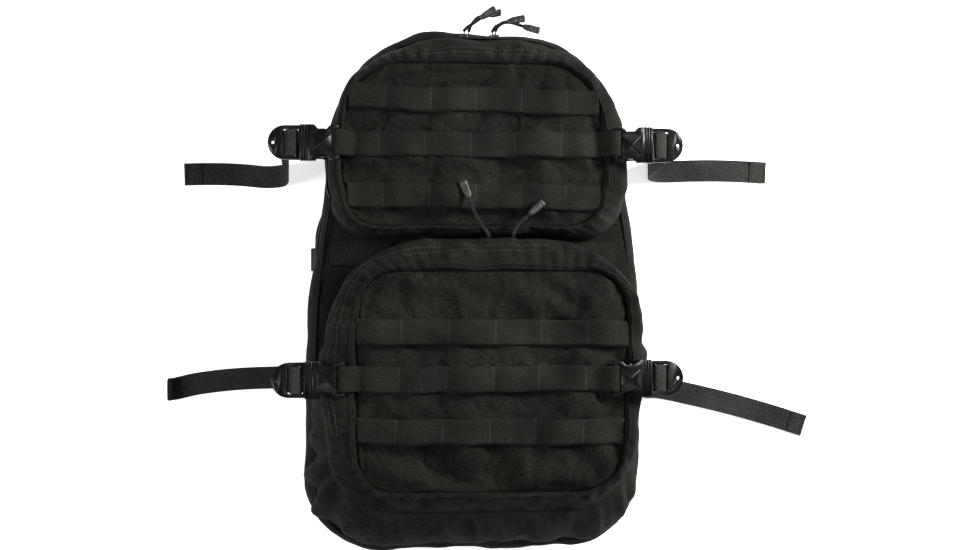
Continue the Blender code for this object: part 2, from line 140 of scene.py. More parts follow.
def camera():
    """Looks straight down on the pack's front, a little from its left."""
    target = Vector((0.012, 0.013, 0.165))
    tilt = math.radians(4.0)
    distance = 1.185
    view_width = 1.001472       # what the frame spans at the target
    data = bpy.data.cameras.new("camera")
    data.sensor_width = 36.0
    data.lens = data.sensor_width * distance / view_width
    obj = link_object("camera", data)
    away = Vector((-math.sin(tilt), 0.0, math.cos(tilt)))
    right = Vector(ALONG_Y).cross(away).normalized()
    obj.location = target + away * distance
    obj.rotation_mode = "QUATERNION"
    obj.rotation_quaternion = Matrix((right, away.cross(right), away)).transposed().to_quaternion()
    bpy.context.scene.camera = obj


def area_light(name, place, size, power):
    """A soft box pointed at the middle of the pack."""
    data = bpy.data.lights.new(name, "AREA")
    data.shape = "RECTANGLE"
    data.size, data.size_y = size
    data.energy = power
    obj = link_object(name, data)
    obj.location = place
    obj.visible_camera = False
    obj.rotation_mode = "QUATERNION"
    obj.rotation_quaternion = (Vector((0, 0, 0.1)) - Vector(place)).to_track_quat("-Z", "Y")


def studio():
    """Three soft boxes, a dim white sky and a white floor that burns out to paper white."""
    area_light("key_light", (0.95, 0.42, 0.78), (0.34, 0.34), 34)
    area_light("left_light", (-1.15, -0.05, 0.80), (0.4, 0.7), 13)
    area_light("front_light", (0.2, -0.1, 1.8), (0.5, 0.5), 5)
    world = bpy.data.worlds.new("studio")
    bpy.context.scene.world = world
    world.use_nodes = True
    sky = world.node_tree.nodes["Background"]
    sky.inputs["Color"].default_value = (1.0, 1.0, 1.0, 1.0)
    sky.inputs["Strength"].default_value = 0.19
    bpy.context.scene.view_settings.view_transform = "Standard"
    mesh = bpy.data.meshes.new("floor")
    bm = bmesh.new()
    bmesh.ops.create_grid(bm, x_segments=2, y_segments=2, size=90.0)
    bm.to_mesh(mesh)
    bm.free()
    floor = link_object("floor", mesh)
    white = bpy.data.materials.new("paper_sweep")
    white.use_nodes = True
    shader = white.node_tree.nodes["Principled BSDF"]
    shader.inputs["Base Color"].default_value = (0.93, 0.93, 0.93, 1.0)
    shader.inputs["Roughness"].default_value = 0.9
    shader.inputs["Emission Color"].default_value = (1.0, 1.0, 1.0, 1.0)
    shader.inputs["Emission Strength"].default_value = 0.62
    mesh.materials.append(white)


camera()
studio()


# ---- materials ----------------------------------------------------------------------------
class Nodes:
    """A short way to build one material's nodes."""

    def __init__(self, name):
        self.material = bpy.data.materials.new(name)
        self.material.use_nodes = True
        self.tree = self.material.node_tree
        self.shader = self.tree.nodes["Principled BSDF"]

    def add(self, kind, **settings):
        node = self.tree.nodes.new("ShaderNode" + kind)
        for key, value in settings.items():
            setattr(node, key, value)
        return node

    def link(self, source, target):
        self.tree.links.new(source, target)

    def mapped(self, kind, where, output, inputs, **settings):
        """One output of a node that reads places in where."""
        node = self.add(kind, **settings)
        for name, value in inputs.items():
            node.inputs[name].default_value = value
        self.link(where, node.inputs["Vector"])
        return node.outputs[output]

    def noise(self, where, scale, detail):
        return self.mapped("TexNoise", where, "Fac", dict(Scale=scale, Detail=detail))

    def stretched(self, where, scale):
        return self.mapped("Mapping", where, "Vector", dict(Scale=scale))

    def wave(self, where, axis, period):
        return self.mapped("TexWave", where, "Fac", dict(Scale=2 * math.pi / 20 / period, Distortion=0.0),
                           wave_type="BANDS", bands_direction=axis)

    def math(self, operation, a, b):
        node = self.add("Math", operation=operation)
        for socket, value in zip(node.inputs, (a, b)):
            if isinstance(value, (int, float)):
                socket.default_value = value
            else:
                self.link(value, socket)
        return node.outputs[0]

    def plus(self, a, b, factor):
        """a and factor times b."""
        return self.math("ADD", a, self.math("MULTIPLY", b, factor))

    def colour(self, tone, stops):
        """The shader's colour, from (tone, colour) stops."""
        node = self.add("ValToRGB")
        self.link(tone, node.inputs["Fac"])
        elements = node.color_ramp.elements
        while len(elements) < len(stops):
            elements.new(0.5)
        for element, (place, colour) in zip(elements, stops):
            element.position = place
            element.color = (*colour, 1.0)
        self.link(node.outputs["Color"], self.shader.inputs["Base Color"])

    def roughness(self, value):
        self.link(value, self.shader.inputs["Roughness"])

    def bump(self, height, strength, distance):
        node = self.add("Bump")
        node.inputs["Strength"].default_value = strength
        node.inputs["Distance"].default_value = distance
        self.link(height, node.inputs["Height"])
        self.link(node.outputs["Normal"], self.shader.inputs["Normal"])


def shade(colour, factor):
    return tuple(c * factor for c in colour)


def woven(name, colour, thread, roughness=0.85, speckle=0.6, specular=0.10, weave_share=0.12,
          streak=0.30):
    """Nylon cloth or webbing: threads over and under each other, slubbed yarns, uneven wear."""
    n = Nodes(name)
    where = n.add("UVMap", uv_map="weave").outputs["UV"]
    a = n.wave(where, "X", thread * 2)
    b = n.wave(where, "Y", thread * 1.7)
    under = n.math("MULTIPLY", n.math("SUBTRACT", 1.0, a), n.math("SUBTRACT", 1.0, b))
    threads = n.math("ADD", n.math("MULTIPLY", a, b), under)
    slubs = 0.62 / thread
    along = n.noise(n.stretched(where, (streak, 1.0, 1.0)), slubs, 2.0)
    cross = n.noise(n.stretched(where, (1.0, streak, 1.0)), slubs, 2.0)
    yarns = n.plus(n.math("MULTIPLY", along, 0.6), cross, 0.4)
    broad = n.noise(n.add("TexCoord").outputs["Object"], 17.0, 4.0)
    tone = n.plus(n.math("MULTIPLY", yarns, speckle), broad, 1.0 - speckle)
    tone = n.plus(tone, n.math("SUBTRACT", threads, 0.5), weave_share)
    n.colour(tone, ((0.38, shade(colour, 0.35)), (0.50, colour), (0.66, shade(colour, 2.3))))
    n.roughness(n.plus(roughness - 0.08, broad, 0.16))
    n.shader.inputs["Specular IOR Level"].default_value = specular
    n.bump(n.plus(threads, yarns, 1.6), 0.85, thread * 0.6)
    return n.material


def moulded(name, colour, roughness, metallic=0.0, edge_wear_and_highlight=1.5, specular=0.5):
    """Moulded plastic or enamel: fine grain, handling marks, edges lighter from wear and as a painted
    highlight, hollows darker as painted shade.
    """
    n = Nodes(name)
    where = n.add("TexCoord").outputs["Object"]
    marks = n.noise(where, 90.0, 5.0)
    grain = n.noise(where, 900.0, 2.0)
    # Pointiness lightens convex edges, as wear and as a painted highlight, and darkens hollows as painted
    # shade.
    edge = n.add("NewGeometry").outputs["Pointiness"]
    tone = n.plus(n.math("MULTIPLY", marks, 0.5), edge, 0.5)
    n.colour(tone, ((0.40, shade(colour, 0.8)), (0.52, colour), (0.66, shade(colour, edge_wear_and_highlight))))
    n.roughness(n.plus(roughness - 0.12, marks, 0.25))
    n.shader.inputs["Metallic"].default_value = metallic
    n.shader.inputs["Specular IOR Level"].default_value = specular
    n.bump(n.plus(grain, marks, 0.7), 0.18, 0.0002)
    return n.material


def netting(name, colour):
    """Spacer mesh: rows of small open cells."""
    n = Nodes(name)
    where = n.add("TexCoord").outputs["Object"]
    cells = n.mapped("TexVoronoi", where, "Distance", dict(Scale=330.0, Randomness=0.35),
                     feature="DISTANCE_TO_EDGE")
    broad = n.noise(where, 18.0, 3.0)
    tone = n.plus(n.plus(0.5, cells, -1.2), broad, 0.5)
    n.colour(tone, ((0.2, shade(colour, 0.35)), (0.7, colour), (0.9, shade(colour, 1.6))))
    n.roughness(n.plus(0.82, broad, 0.1))
    n.bump(n.math("SUBTRACT", 1.0, cells), 0.7, 0.0008)
    return n.material


RIBBED = dict(speckle=0.62, specular=0.12, weave_share=0.30, streak=0.8)
CLOTH = woven("nylon_cloth", (0.0080, 0.0072, 0.0056), 0.00095, speckle=0.72)
WEBBING = woven("webbing_weave", (0.0090, 0.0083, 0.0066), 0.0012, **RIBBED)
BINDING = woven("binding_tape", (0.0075, 0.0075, 0.0071), 0.0007)
THREAD = woven("bonded_thread", (0.024, 0.024, 0.022), 0.0004, roughness=0.7)
PARACORD = woven("paracord_braid", (0.014, 0.014, 0.0135), 0.0009, roughness=0.7, speckle=0.8)
# A lighter copy of the webbing for the loose tails on the floor: painted light, standing in for the extra
# light that falls on them.
WEBBING_PAINTED_LIGHT = woven("webbing_painted_light", (0.0210, 0.0206, 0.0188), 0.0012, **RIBBED)
NET = netting("spacer_net", (0.016, 0.016, 0.016))
# Each moulded finish's edge factor sets how much lighter its edges come out, as wear and as a painted
# highlight.
ACETAL = moulded("acetal_black", (0.0034, 0.0034, 0.0034), 0.33, edge_wear_and_highlight=2.2, specular=0.15)
ENAMEL = moulded("slider_enamel_black", (0.05, 0.05, 0.052), 0.34, metallic=0.8, edge_wear_and_highlight=2.5)
COIL = moulded("nylon_coil", (0.010, 0.010, 0.010), 0.30, edge_wear_and_highlight=1.8)
GRIP = moulded("grip_grey", (0.018, 0.018, 0.0175), 0.38, edge_wear_and_highlight=1.6)
POLYMER = moulded("sheet_polymer", (0.045, 0.046, 0.047), 0.5, edge_wear_and_highlight=1.15)


# ---- mesh helpers -------------------------------------------------------------------------
def weave(mesh, uvs):
    """The map, in metres, that the cloths' threads follow."""
    layer = mesh.uv_layers.get("weave") or mesh.uv_layers.new(name="weave")
    order = np.empty(len(mesh.loops), dtype=int)
    mesh.loops.foreach_get("vertex_index", order)
    layer.data.foreach_set("uv", np.asarray(uvs, dtype=np.float32)[order].ravel())


def link_mesh(name, verts, faces, mat, uvs=None):
    mesh = bpy.data.meshes.new(name)
    mesh.from_pydata([tuple(map(float, v)) for v in verts], [], [tuple(map(int, f)) for f in faces])
    mesh.materials.append(mat)
    weave(mesh, np.asarray(verts)[:, :2] if uvs is None else uvs)
    mesh.shade_smooth()
    mesh.set_sharp_from_angle(angle=math.radians(48))
    return link_object(name, mesh)


def bake(obj):
    """Makes the modifiers' result the object's own mesh."""
    graph = bpy.context.evaluated_depsgraph_get()
    mesh = bpy.data.meshes.new_from_object(obj.evaluated_get(graph))
    obj.modifiers.clear()
    obj.data = mesh
    return obj


def thicken(obj, thick, offset=-1.0):
    """Gives a surface its thickness: inwards at -1, outwards at 1."""
    wall = obj.modifiers.new("wall", "SOLIDIFY")
    wall.thickness = thick
    wall.offset = offset
    return bake(obj)


def subdivide(obj):
    finer = obj.modifiers.new("finer", "SUBSURF")
    finer.levels = finer.render_levels = 1


def grid_faces(rows, columns, close_rows=False, close_columns=False):
    faces = []
    for i in range(rows if close_rows else rows - 1):
        for j in range(columns if close_columns else columns - 1):
            k, l = (i + 1) % rows, (j + 1) % columns
            faces.append((i * columns + j, k * columns + j, k * columns + l, i * columns + l))
    return faces


def tube_faces(rows, columns, flip=False):
    """Faces of a tube of rings, with an end at each. flip turns the ends over."""
    first = tuple(range(columns))
    last = tuple((rows - 1) * columns + j for j in first)
    ends = [first[::-1], last] if flip else [first, last[::-1]]
    return grid_faces(rows, columns, close_columns=True) + ends


def tube(name, rings, mat, uvs=None, flip=False):
    """A tube through (rings, points, 3)."""
    rows, columns = rings.shape[:2]
    return link_mesh(name, rings.reshape(-1, 3), tube_faces(rows, columns, flip), mat, uvs)


def lengths(points):
    steps = np.linalg.norm(np.diff(points, axis=0), axis=1)
    return np.concatenate([[0.0], np.cumsum(steps)])


def at_height(flat, z):
    """Points of the plane lifted to z, one number or one for each."""
    return np.column_stack([flat, np.broadcast_to(z, len(flat))])


def skin(name, grid, mat, close=False, thick=0.0, offset=-1.0, cap=False):
    """A surface through a (rows, columns, 3) grid of points."""
    rows, columns = grid.shape[:2]
    along = lengths(grid[:, columns // 2])
    across = lengths(grid[rows // 2])
    uvs = np.stack(np.meshgrid(along, across, indexing="ij"), -1).reshape(-1, 2)
    faces = grid_faces(rows, columns, close_rows=close)
    if cap:
        faces.append(tuple(i * columns + columns - 1 for i in range(rows)))
    obj = link_mesh(name, grid.reshape(-1, 3), faces, mat, uvs)
    return thicken(obj, thick, offset) if thick else obj


def loops_to_grid(loops):
    """Loops from the outside in, as a grid with a row for each point of a loop."""
    return np.transpose(np.array(loops), (1, 0, 2))


def wander(points, scale, seed, waves=9):
    """A smooth random field of about unit size, the same on each run."""
    dice = np.random.default_rng(seed)
    p = np.asarray(points, dtype=float)
    total = np.zeros(p.shape[:-1])
    warp = 0.35 * scale * np.sin(p[..., [1, 2, 0]] * 2.1 / scale + seed)
    for _ in range(waves):
        direction = dice.normal(size=3)
        direction /= np.linalg.norm(direction)
        wavelength = scale * dice.uniform(0.7, 1.8)
        total += np.sin(2 * math.pi * (p + warp) @ direction / wavelength + dice.uniform(0, 6.28))
    return total / math.sqrt(waves / 2)


def outline(half, shoulder, foot, waist, bottom, top, r_top, r_bottom,
            inset=0.0, shift=0.0, count=360):
    """count points evenly along the outline, counter-clockwise from the middle of its bottom."""
    flank = waist_curve(half, shoulder, foot, waist, bottom + r_bottom, top - r_top)
    corners = ((foot - r_bottom, bottom + r_bottom, r_bottom, -90),
               (shoulder - r_top, top - r_top, r_top, 0),
               (r_top - shoulder, top - r_top, r_top, 90),
               (r_bottom - foot, bottom + r_bottom, r_bottom, 180))
    points = [(0.0, bottom + inset)]
    for cx, cy, radius, start in corners:
        if start == 0:
            points += [(x - inset, y) for x, y in flank]
        elif start == 180:
            points += [(inset - x, y) for x, y in flank[::-1]]
        reach = max(radius - inset, 0.002)
        for step in range(25):
            a = math.radians(start + 90 * step / 24)
            points.append((cx + reach * math.cos(a), cy + reach * math.sin(a)))
    points.append(points[0])
    points = np.array(points)
    so_far = lengths(points)
    at = np.linspace(0, so_far[-1], count, endpoint=False)
    out = np.stack([np.interp(at, so_far, points[:, k]) for k in range(2)], 1)
    out[:, 0] += shift + np.interp(out[:, 1], *LEAN)
    return out


def waist_curve(half, shoulder, foot, waist, low, high):
    """The flank from above the foot's corner up to the shoulder, swelling to the waist."""
    ys = np.linspace(low, high, 14)[1:-1]
    below = ys < waist
    share = np.where(below, (ys - low) / (waist - low), (high - ys) / (high - waist))
    base = np.where(below, foot, shoulder)
    return list(zip(base + (half - base) * np.sin(np.clip(share, 0, 1) * math.pi / 2), ys))


def outward(points):
    """Unit normals of a closed outline."""
    step = np.roll(points, -1, 0) - np.roll(points, 1, 0)
    normal = np.stack([step[:, 1], -step[:, 0]], 1)
    return normal / np.linalg.norm(normal, axis=1)[:, None]


def edge_distance(points, shape, shift=0.0):
    """Distance of each point to an outline."""
    edge = outline(**shape, shift=shift, count=420)
    flat = np.asarray(points)[:, :2]
    return np.min(np.linalg.norm(flat[:, None, :] - edge[None, :, :], axis=2), axis=1)


def coords_of(obj, what="co"):
    out = np.empty(len(obj.data.vertices) * 3)
    obj.data.vertices.foreach_get(what, out)
    return out.reshape(-1, 3)


def normals_of(obj):
    return coords_of(obj, "normal")


def set_coords(obj, points):
    obj.data.vertices.foreach_set("co", np.asarray(points, dtype=np.float32).ravel())
    obj.data.update()


def rumple(obj, amount, scale, seed):
    """Moves the surface along its normals by a smooth random amount."""
    points = coords_of(obj)
    set_coords(obj, points + normals_of(obj) * (amount * wander(points, scale, seed))[:, None])


def catmull_rom(points, steps):
    """A smooth curve through points, or through loops of them. steps(b, c) counts from b to c."""
    p = np.concatenate([[2 * points[0] - points[1]], points, [2 * points[-1] - points[-2]]])
    out = []
    for a, b, c, d in zip(p, p[1:], p[2:], p[3:]):
        count = steps(b, c)
        for k in range(count):
            t = k / count
            out.append(0.5 * (2 * b + (c - a) * t + (2 * a - 5 * b + 4 * c - d) * t * t
                              + (3 * b - a - 3 * c + d) * t ** 3))
    out.append(p[-2])
    return np.array(out)


def smooth_path(points, step):
    """Points about step apart on a curve through the given ones."""
    return catmull_rom(np.array(points, dtype=float),
                       lambda b, c: max(2, int(np.linalg.norm(c - b) / step)))


def tangents(path):
    step = np.gradient(path, axis=0)
    return step / np.linalg.norm(step, axis=1)[:, None]


def flat_sides(path):
    """The direction across a path that lies flat, at each point."""
    t = tangents(path)
    return np.stack([-t[:, 1], t[:, 0], t[:, 0] * 0], 1)


# ---- straps, cords, stitches --------------------------------------------------------------
def strap(name, path, across=ALONG_Y, mat=WEBBING, width=WEB, spread=None):
    """A flat strap along path. across is its width's direction, spread a factor on its width."""
    t = tangents(path)
    wide = across - t * np.sum(t * across, axis=1)[:, None]
    wide /= np.linalg.norm(wide, axis=1)[:, None]
    up = np.cross(t, wide)
    if spread is not None:
        wide = wide * spread[:, None]
    under = [(-1, -0.4), (-0.97, -1), (-0.5, -1), (0, -1), (0.5, -1), (0.97, -1), (1, -0.4)]
    over = [(u, -v) for u, v in reversed(under)]
    rim = [(u * width / 2, v * WEB_T / 2) for u, v in under + over]
    rings = np.stack([path + wide * a + up * b for a, b in rim], 1)
    uvs = np.array([(s, a) for s in lengths(path) for a, _ in rim])
    return tube(name, rings, mat, uvs, flip=True)


def round_rings(path, radius, leaning, count):
    """Rings round a path. radius is one number or one for each point of each ring."""
    t = tangents(path)
    side = np.cross(t, np.array(leaning))
    side /= np.linalg.norm(side, axis=1)[:, None]
    up = np.cross(side, t)
    turns = np.linspace(0, 2 * math.pi, count, endpoint=False)
    reach = np.broadcast_to(radius, (len(path), count))[..., None]
    return path[:, None, :] + reach * (side[:, None, :] * np.cos(turns)[None, :, None]
                                       + up[:, None, :] * np.sin(turns)[None, :, None])


def rope(path, radius, sides=8):
    """Vertices and faces of one tube, for joining into a mesh."""
    rings = round_rings(path, radius, (0.12, 0.23, 0.96), sides)
    return rings.reshape(-1, 3), tube_faces(len(path), sides)


def joined(name, parts, mat):
    """One object from many (vertices, faces) parts."""
    verts, faces, so_far = [], [], 0
    for v, f in parts:
        verts.append(v)
        faces += [tuple(i + so_far for i in g) for g in f]
        so_far += len(v)
    return link_mesh(name, np.vstack(verts), faces, mat)


def stitches(name, path, normals, pitch=0.0040, dash=0.0026):
    """A row of short sewn threads along path, each one half sunk in the cloth."""
    radius, proud = 0.00055, 0.00035
    rise = np.array([-radius, proud, proud, -radius])[:, None]
    far = lengths(path)
    parts = []
    at = pitch / 2
    while at + dash < far[-1]:
        places = np.linspace(at, at + dash, 4)
        line = np.stack([np.interp(places, far, path[:, k]) for k in range(3)], 1)
        lift = np.stack([np.interp(places, far, normals[:, k]) for k in range(3)], 1)
        parts.append(rope(line + lift * rise, radius, 5))
        at += pitch
    return joined(name, parts, THREAD)


def dress(obj, body, slot_name, *nodes):
    """Rides and takes the place of CAD nodes. slot_name, the finish's name, is not used."""
    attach(obj, body)
    if nodes:
        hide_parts(*nodes)
    return obj


def piping(name, path, radius, body):
    """A corded edge sewn into a seam all the way round."""
    closed = np.vstack([path, path[:2]])
    dress(joined(name, [rope(closed, radius)], BINDING), body, "shell_nylon")


# ---- soft shells --------------------------------------------------------------------------
def shell(name, stations, rumples, cap=False, folds=False, calm=None):
    """A wall lofted through stations: (shape, inset, z, shift). It lies still at the height calm."""
    loops = [at_height(outline(**shape, inset=inset, shift=shift), z)
             for shape, inset, z, shift in stations]
    grid = loops_to_grid(catmull_rom(np.array(loops), lambda b, c: 3))
    obj = skin(name, grid, CLOTH, close=True, cap=cap)
    smooth = coords_of(obj)
    if folds:
        slump(obj)
    for amount, scale, seed in rumples:
        rumple(obj, amount, scale, seed)
    if calm is not None:
        share = np.clip(np.abs(smooth[:, 2] - calm) / 0.014, 0, 1)[:, None]
        set_coords(obj, smooth + (coords_of(obj) - smooth) * share)
    return thicken(obj, CLOTH_T)


def slump(obj):
    """Folds hanging down the pocket's underside, deepest at its left corner."""
    p = coords_of(obj)
    x, y, z = p.T
    run = x + 0.25 * (y + 0.25)
    waves = np.sin(run * 2 * math.pi / 0.037 + 1.6 * np.sin(run * 41.0))
    waves = waves + 0.6 * np.sin(run * 2 * math.pi / 0.0155)
    underside = np.clip((-0.165 - y) / 0.05, 0, 1)
    above_foot = np.clip((z - FRONT_MAIN - 0.004) / 0.025, 0, 1)
    depth = 0.0024 * underside * waves * above_foot
    corner = np.clip((-0.105 - x) / 0.04, 0, 1) * np.clip((-0.135 - y) / 0.03, 0, 1)
    turn = np.arctan2(y + 0.170, x + 0.115)
    depth += 0.0070 * corner * np.sin(turn * 11.0 + 55.0 * (z - 0.115) + 0.8 * np.sin(turn * 5.0))
    set_coords(obj, p + normals_of(obj) * depth[:, None])


def settle(obj):
    """Brings a pocket's foot down onto the main front where that rounds off towards its edge."""
    from_edge = (0.0006, 0.0075, 0.014, 0.022, 0.035)
    drops = (0.0120, 0.0085, 0.0055, 0.0030, 0.0012)
    p = coords_of(obj)
    foot = np.clip((FRONT_MAIN + 0.005 - p[:, 2]) / 0.005, 0, 1)
    p[:, 2] -= foot * (0.0010 + np.interp(edge_distance(p, MAIN), from_edge, drops))
    set_coords(obj, p)


def sag(pocket, y):
    """How far the stuffed pocket's front falls back towards its ends."""
    return sum(depth * np.clip((y - start) / length, 0, limit) ** power
               for depth, start, length, limit, power in pocket.sags)


def creased(pocket, points, free):
    """How far the cloth lies lower along the pocket's folds, each with a ridge beside it."""
    drop = np.zeros(len(points))
    for x0, y0, x1, y1, depth, width in pocket.folds:
        run = np.array([x1 - x0, y1 - y0])
        long = np.linalg.norm(run)
        t = ((points[:, 0] - x0) * run[0] + (points[:, 1] - y0) * run[1]) / (run @ run)
        inside = np.clip(t, 0, 1)
        arch = np.sin(inside * math.pi)
        off = ((points[:, 0] - x0) * -run[1] + (points[:, 1] - y0) * run[0]) / long - 0.004 * arch
        far = np.hypot((t - inside) * long, off)
        ridge = 0.55 * np.exp(-((off - 1.5 * width) / width) ** 2) * (t == inside)
        drop += depth * (np.exp(-(far / width) ** 2) - ridge) * (0.35 + 0.65 * arch)
    return 2.5 * drop * free


def pillow(pocket, tacks):
    """A pocket's front panel: filled cloth sewn down at its seam and at the rows' bar tacks."""
    seed = pocket.panel_seed
    z = pocket.front_z - 0.0030
    crown = 0.006
    edge = outline(**pocket.panel, inset=0.0006, shift=pocket.panel_shift, count=220)
    n = len(edge)
    faces = [(i, (i + 1) % n, n + (i + 1) % n, n + i) for i in range(n)]
    faces += [tuple(range(n))[::-1], tuple(range(n, 2 * n))]
    verts = np.vstack([at_height(edge, z - 0.005), at_height(edge, z + 0.001)])
    obj = link_mesh(pocket.name + "_panel", verts, faces, CLOTH)
    remesh = obj.modifiers.new("even", "REMESH")
    remesh.mode = "VOXEL"
    remesh.voxel_size = 0.0036
    bake(obj)
    points = coords_of(obj)
    inside = edge_distance(points, pocket.panel, pocket.panel_shift)
    dome = 1 - np.exp(-inside / 0.030)
    upper_side = points[:, 2] > z - 0.002
    lift = crown * dome + 0.0007 * wander(points, 0.06, seed) * dome
    points[:, 2] += np.where(upper_side, lift, 0.35 * lift)
    set_coords(obj, points)
    held = np.clip(1.15 - inside / 0.006, 0, 1)
    for x, y in tacks:
        near = np.hypot(points[:, 0] - x, points[:, 1] - y)
        held = np.maximum(held, np.clip(1.5 - near / 0.004, 0, 1))
    held = np.where(upper_side, held, 1.0)
    billow(obj, held, rest=points)
    points = coords_of(obj)
    free = np.clip(inside / 0.015, 0, 1) * (1 - np.clip(held, 0, 1))
    free = np.where(upper_side, free, 0)
    waves = pocket.ripple * wander(points * (0.45, 1.0, 1.0), 0.055, seed + 6)
    points[:, 2] += waves * free - creased(pocket, points, free) - sag(pocket, points[:, 1])
    set_coords(obj, points)
    rumple(obj, 0.0003, 0.02, seed + 4)
    subdivide(obj)
    bake(obj)
    obj.data.materials.clear()
    obj.data.materials.append(CLOTH)
    obj.data.shade_smooth()
    weave(obj.data, coords_of(obj)[:, :2])
    return obj


def billow(obj, held, rest):
    """Cloth simulation: the panel is cut a little too large and blown out against its seams."""
    frames = 22
    furthest = 0.011
    group = obj.vertex_groups.new(name="held")
    for index, weight in enumerate(held):
        if weight > 0:
            group.add([index], float(weight), "REPLACE")
    cloth = obj.modifiers.new("cloth", "CLOTH")
    cloth.settings.quality = 5
    cloth.settings.mass = 0.25
    cloth.settings.tension_stiffness = 22
    cloth.settings.compression_stiffness = 22
    cloth.settings.shear_stiffness = 6
    cloth.settings.bending_stiffness = 0.20
    cloth.settings.shrink_min = -0.085
    cloth.settings.use_pressure = True
    cloth.settings.uniform_pressure_force = 1.6
    cloth.settings.vertex_group_mass = "held"
    cloth.settings.effector_weights.gravity = 0.0
    cloth.point_cache.frame_start = 1
    cloth.point_cache.frame_end = frames
    scene = bpy.context.scene
    for step in range(1, frames + 1):
        scene.frame_set(step)
    bake(obj)
    scene.frame_set(1)
    moved = coords_of(obj) - rest
    far = np.linalg.norm(moved, axis=1)
    share = np.where(far > furthest, furthest / np.maximum(far, 1e-9), 1.0)
    set_coords(obj, rest + moved * share[:, None])
    obj.vertex_groups.clear()


def tree_of(obj):
    points = [v.co.copy() for v in obj.data.vertices]
    return BVHTree.FromPolygons(points, [tuple(p.vertices) for p in obj.data.polygons])


def surface_of(*objects):
    """A function that gives the height of the highest of these surfaces at x, y."""
    trees = [tree_of(obj) for obj in objects]

    def height(x, y, default):
        hits = [tree.ray_cast(Vector((x, y, OVERHEAD)), Vector((0, 0, -1)))[0] for tree in trees]
        return max((hit.z for hit in hits if hit is not None), default=default)

    return height


def row(name, y, ends, height, default, tack_xs, slope, seed, lifts):
    """One row of webbing over the panel, tacked down at tack_xs and standing off between.

    Where lifts is not zero, that end rises to the buckle's bar at that height and goes round it.
    """
    x0, x1 = ends
    xs = np.linspace(x0, x1, int((x1 - x0) / 0.0022))
    vs = np.linspace(-WEB / 2, WEB / 2, 9)
    heights = np.array([[height(x, y + slope * x + v, default) for v in vs] for x in xs])
    kernel = np.ones(7) / 7
    levels = np.array([np.convolve(np.pad(column, 3, "edge"), kernel, "valid")
                       for column in heights.T]).T
    base = 0.5 * levels + 0.5 * levels.max(axis=1)[:, None]
    stops = np.array([x0, *[x for x in tack_xs if x0 < x < x1], x1])
    gap = np.min(np.abs(stops[None, :] - xs[:, None]), axis=1)
    stand = 0.0019 * np.clip(gap / 0.018, 0, 1) ** 0.6
    loose = 0.5 + 0.5 * wander(np.stack([xs, xs * 0 + seed, xs * 0], 1), 0.08, seed)
    wobble = 0.0008 * wander(np.stack([xs, xs * 0, xs * 0], 1), 0.09, seed)
    grid = np.zeros((len(xs), len(vs), 3))
    grid[:, :, 0] = xs[:, None]
    for j, v in enumerate(vs):
        grid[:, j, 1] = y + slope * xs + v + wobble
        grid[:, j, 2] = base[:, j] + 0.0011 + stand * (0.5 + 0.7 * loose) * (0.8 - 0.5 * v / WEB)
    for lift, far in ((lifts[0], xs - x0), (lifts[1], x1 - xs)):
        if lift:
            share = np.clip(1 - (far - 0.004) / 0.020, 0, 1)
            share = (share * share * (3 - 2 * share))[:, None]
            grid[:, :, 2] = grid[:, :, 2] * (1 - share) + (lift - 0.0004) * share
            grid[:, :, 2] -= 0.0022 * (np.clip(1 - far / 0.0032, 0, 1) ** 2)[:, None]
    obj = skin(name, grid, WEBBING, thick=WEB_T, offset=1.0)
    parts = []
    for x in tack_xs:
        i = int(np.argmin(np.abs(xs - x)))
        for v in np.linspace(-WEB * 0.44, WEB * 0.44, 15):
            here = np.array([x, y + slope * x + v, np.interp(v, vs, grid[i, :, 2]) + WEB_T])
            line = here + np.outer(np.linspace(-1, 1, 4), (0.0011, 0.0007, 0.0))
            line[:, 2] += (-0.0004, 0.00012, 0.00012, -0.0004)
            parts.append(rope(line, 0.00042, 5))
    return obj, joined(name + "_tacks", parts, THREAD)


def body_shells():
    """The main compartment: side wall on the back, and the front panel that unzips from it."""
    z0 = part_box("back_panel")[0].z
    wall_stations = ((0.016, z0 + 0.0015), (0.006, z0 + 0.004), (0.000, z0 + 0.012),
                     (-0.0025, z0 + 0.028), (-0.0015, z0 + 0.046), (0.0005, ZIP_MAIN - 0.0050),
                     (0.0010, ZIP_MAIN - 0.0006))
    wall = shell("main_body_wall", [(MAIN, inset, z, 0) for inset, z in wall_stations],
                 rumples=((0.0016, 0.10, 3), (0.0007, 0.035, 4)), calm=ZIP_MAIN)
    dress(wall, "pack", "shell_nylon", "main_gusset")
    front_stations = ((0.0010, ZIP_MAIN + 0.0006), (0.0000, ZIP_MAIN + 0.006),
                      (-0.0022, ZIP_MAIN + 0.018), (0.0006, ZIP_MAIN + 0.029),
                      (0.0075, FRONT_MAIN - 0.0030), (0.0200, FRONT_MAIN + 0.0005),
                      (0.0400, FRONT_MAIN - 0.0005), (0.0480, FRONT_MAIN - 0.0005))
    front_shell = shell("main_front_shell", [(MAIN, inset, z, 0) for inset, z in front_stations],
                        rumples=((0.0011, 0.08, 7), (0.0005, 0.03, 8)), cap=True)
    dress(front_shell, "main_front", "shell_nylon", "main_panel")
    seam = outline(**MAIN, inset=0.0085, count=240)
    piping("main_front_piping", at_height(seam, FRONT_MAIN - 0.0016), 0.0015, "main_front")


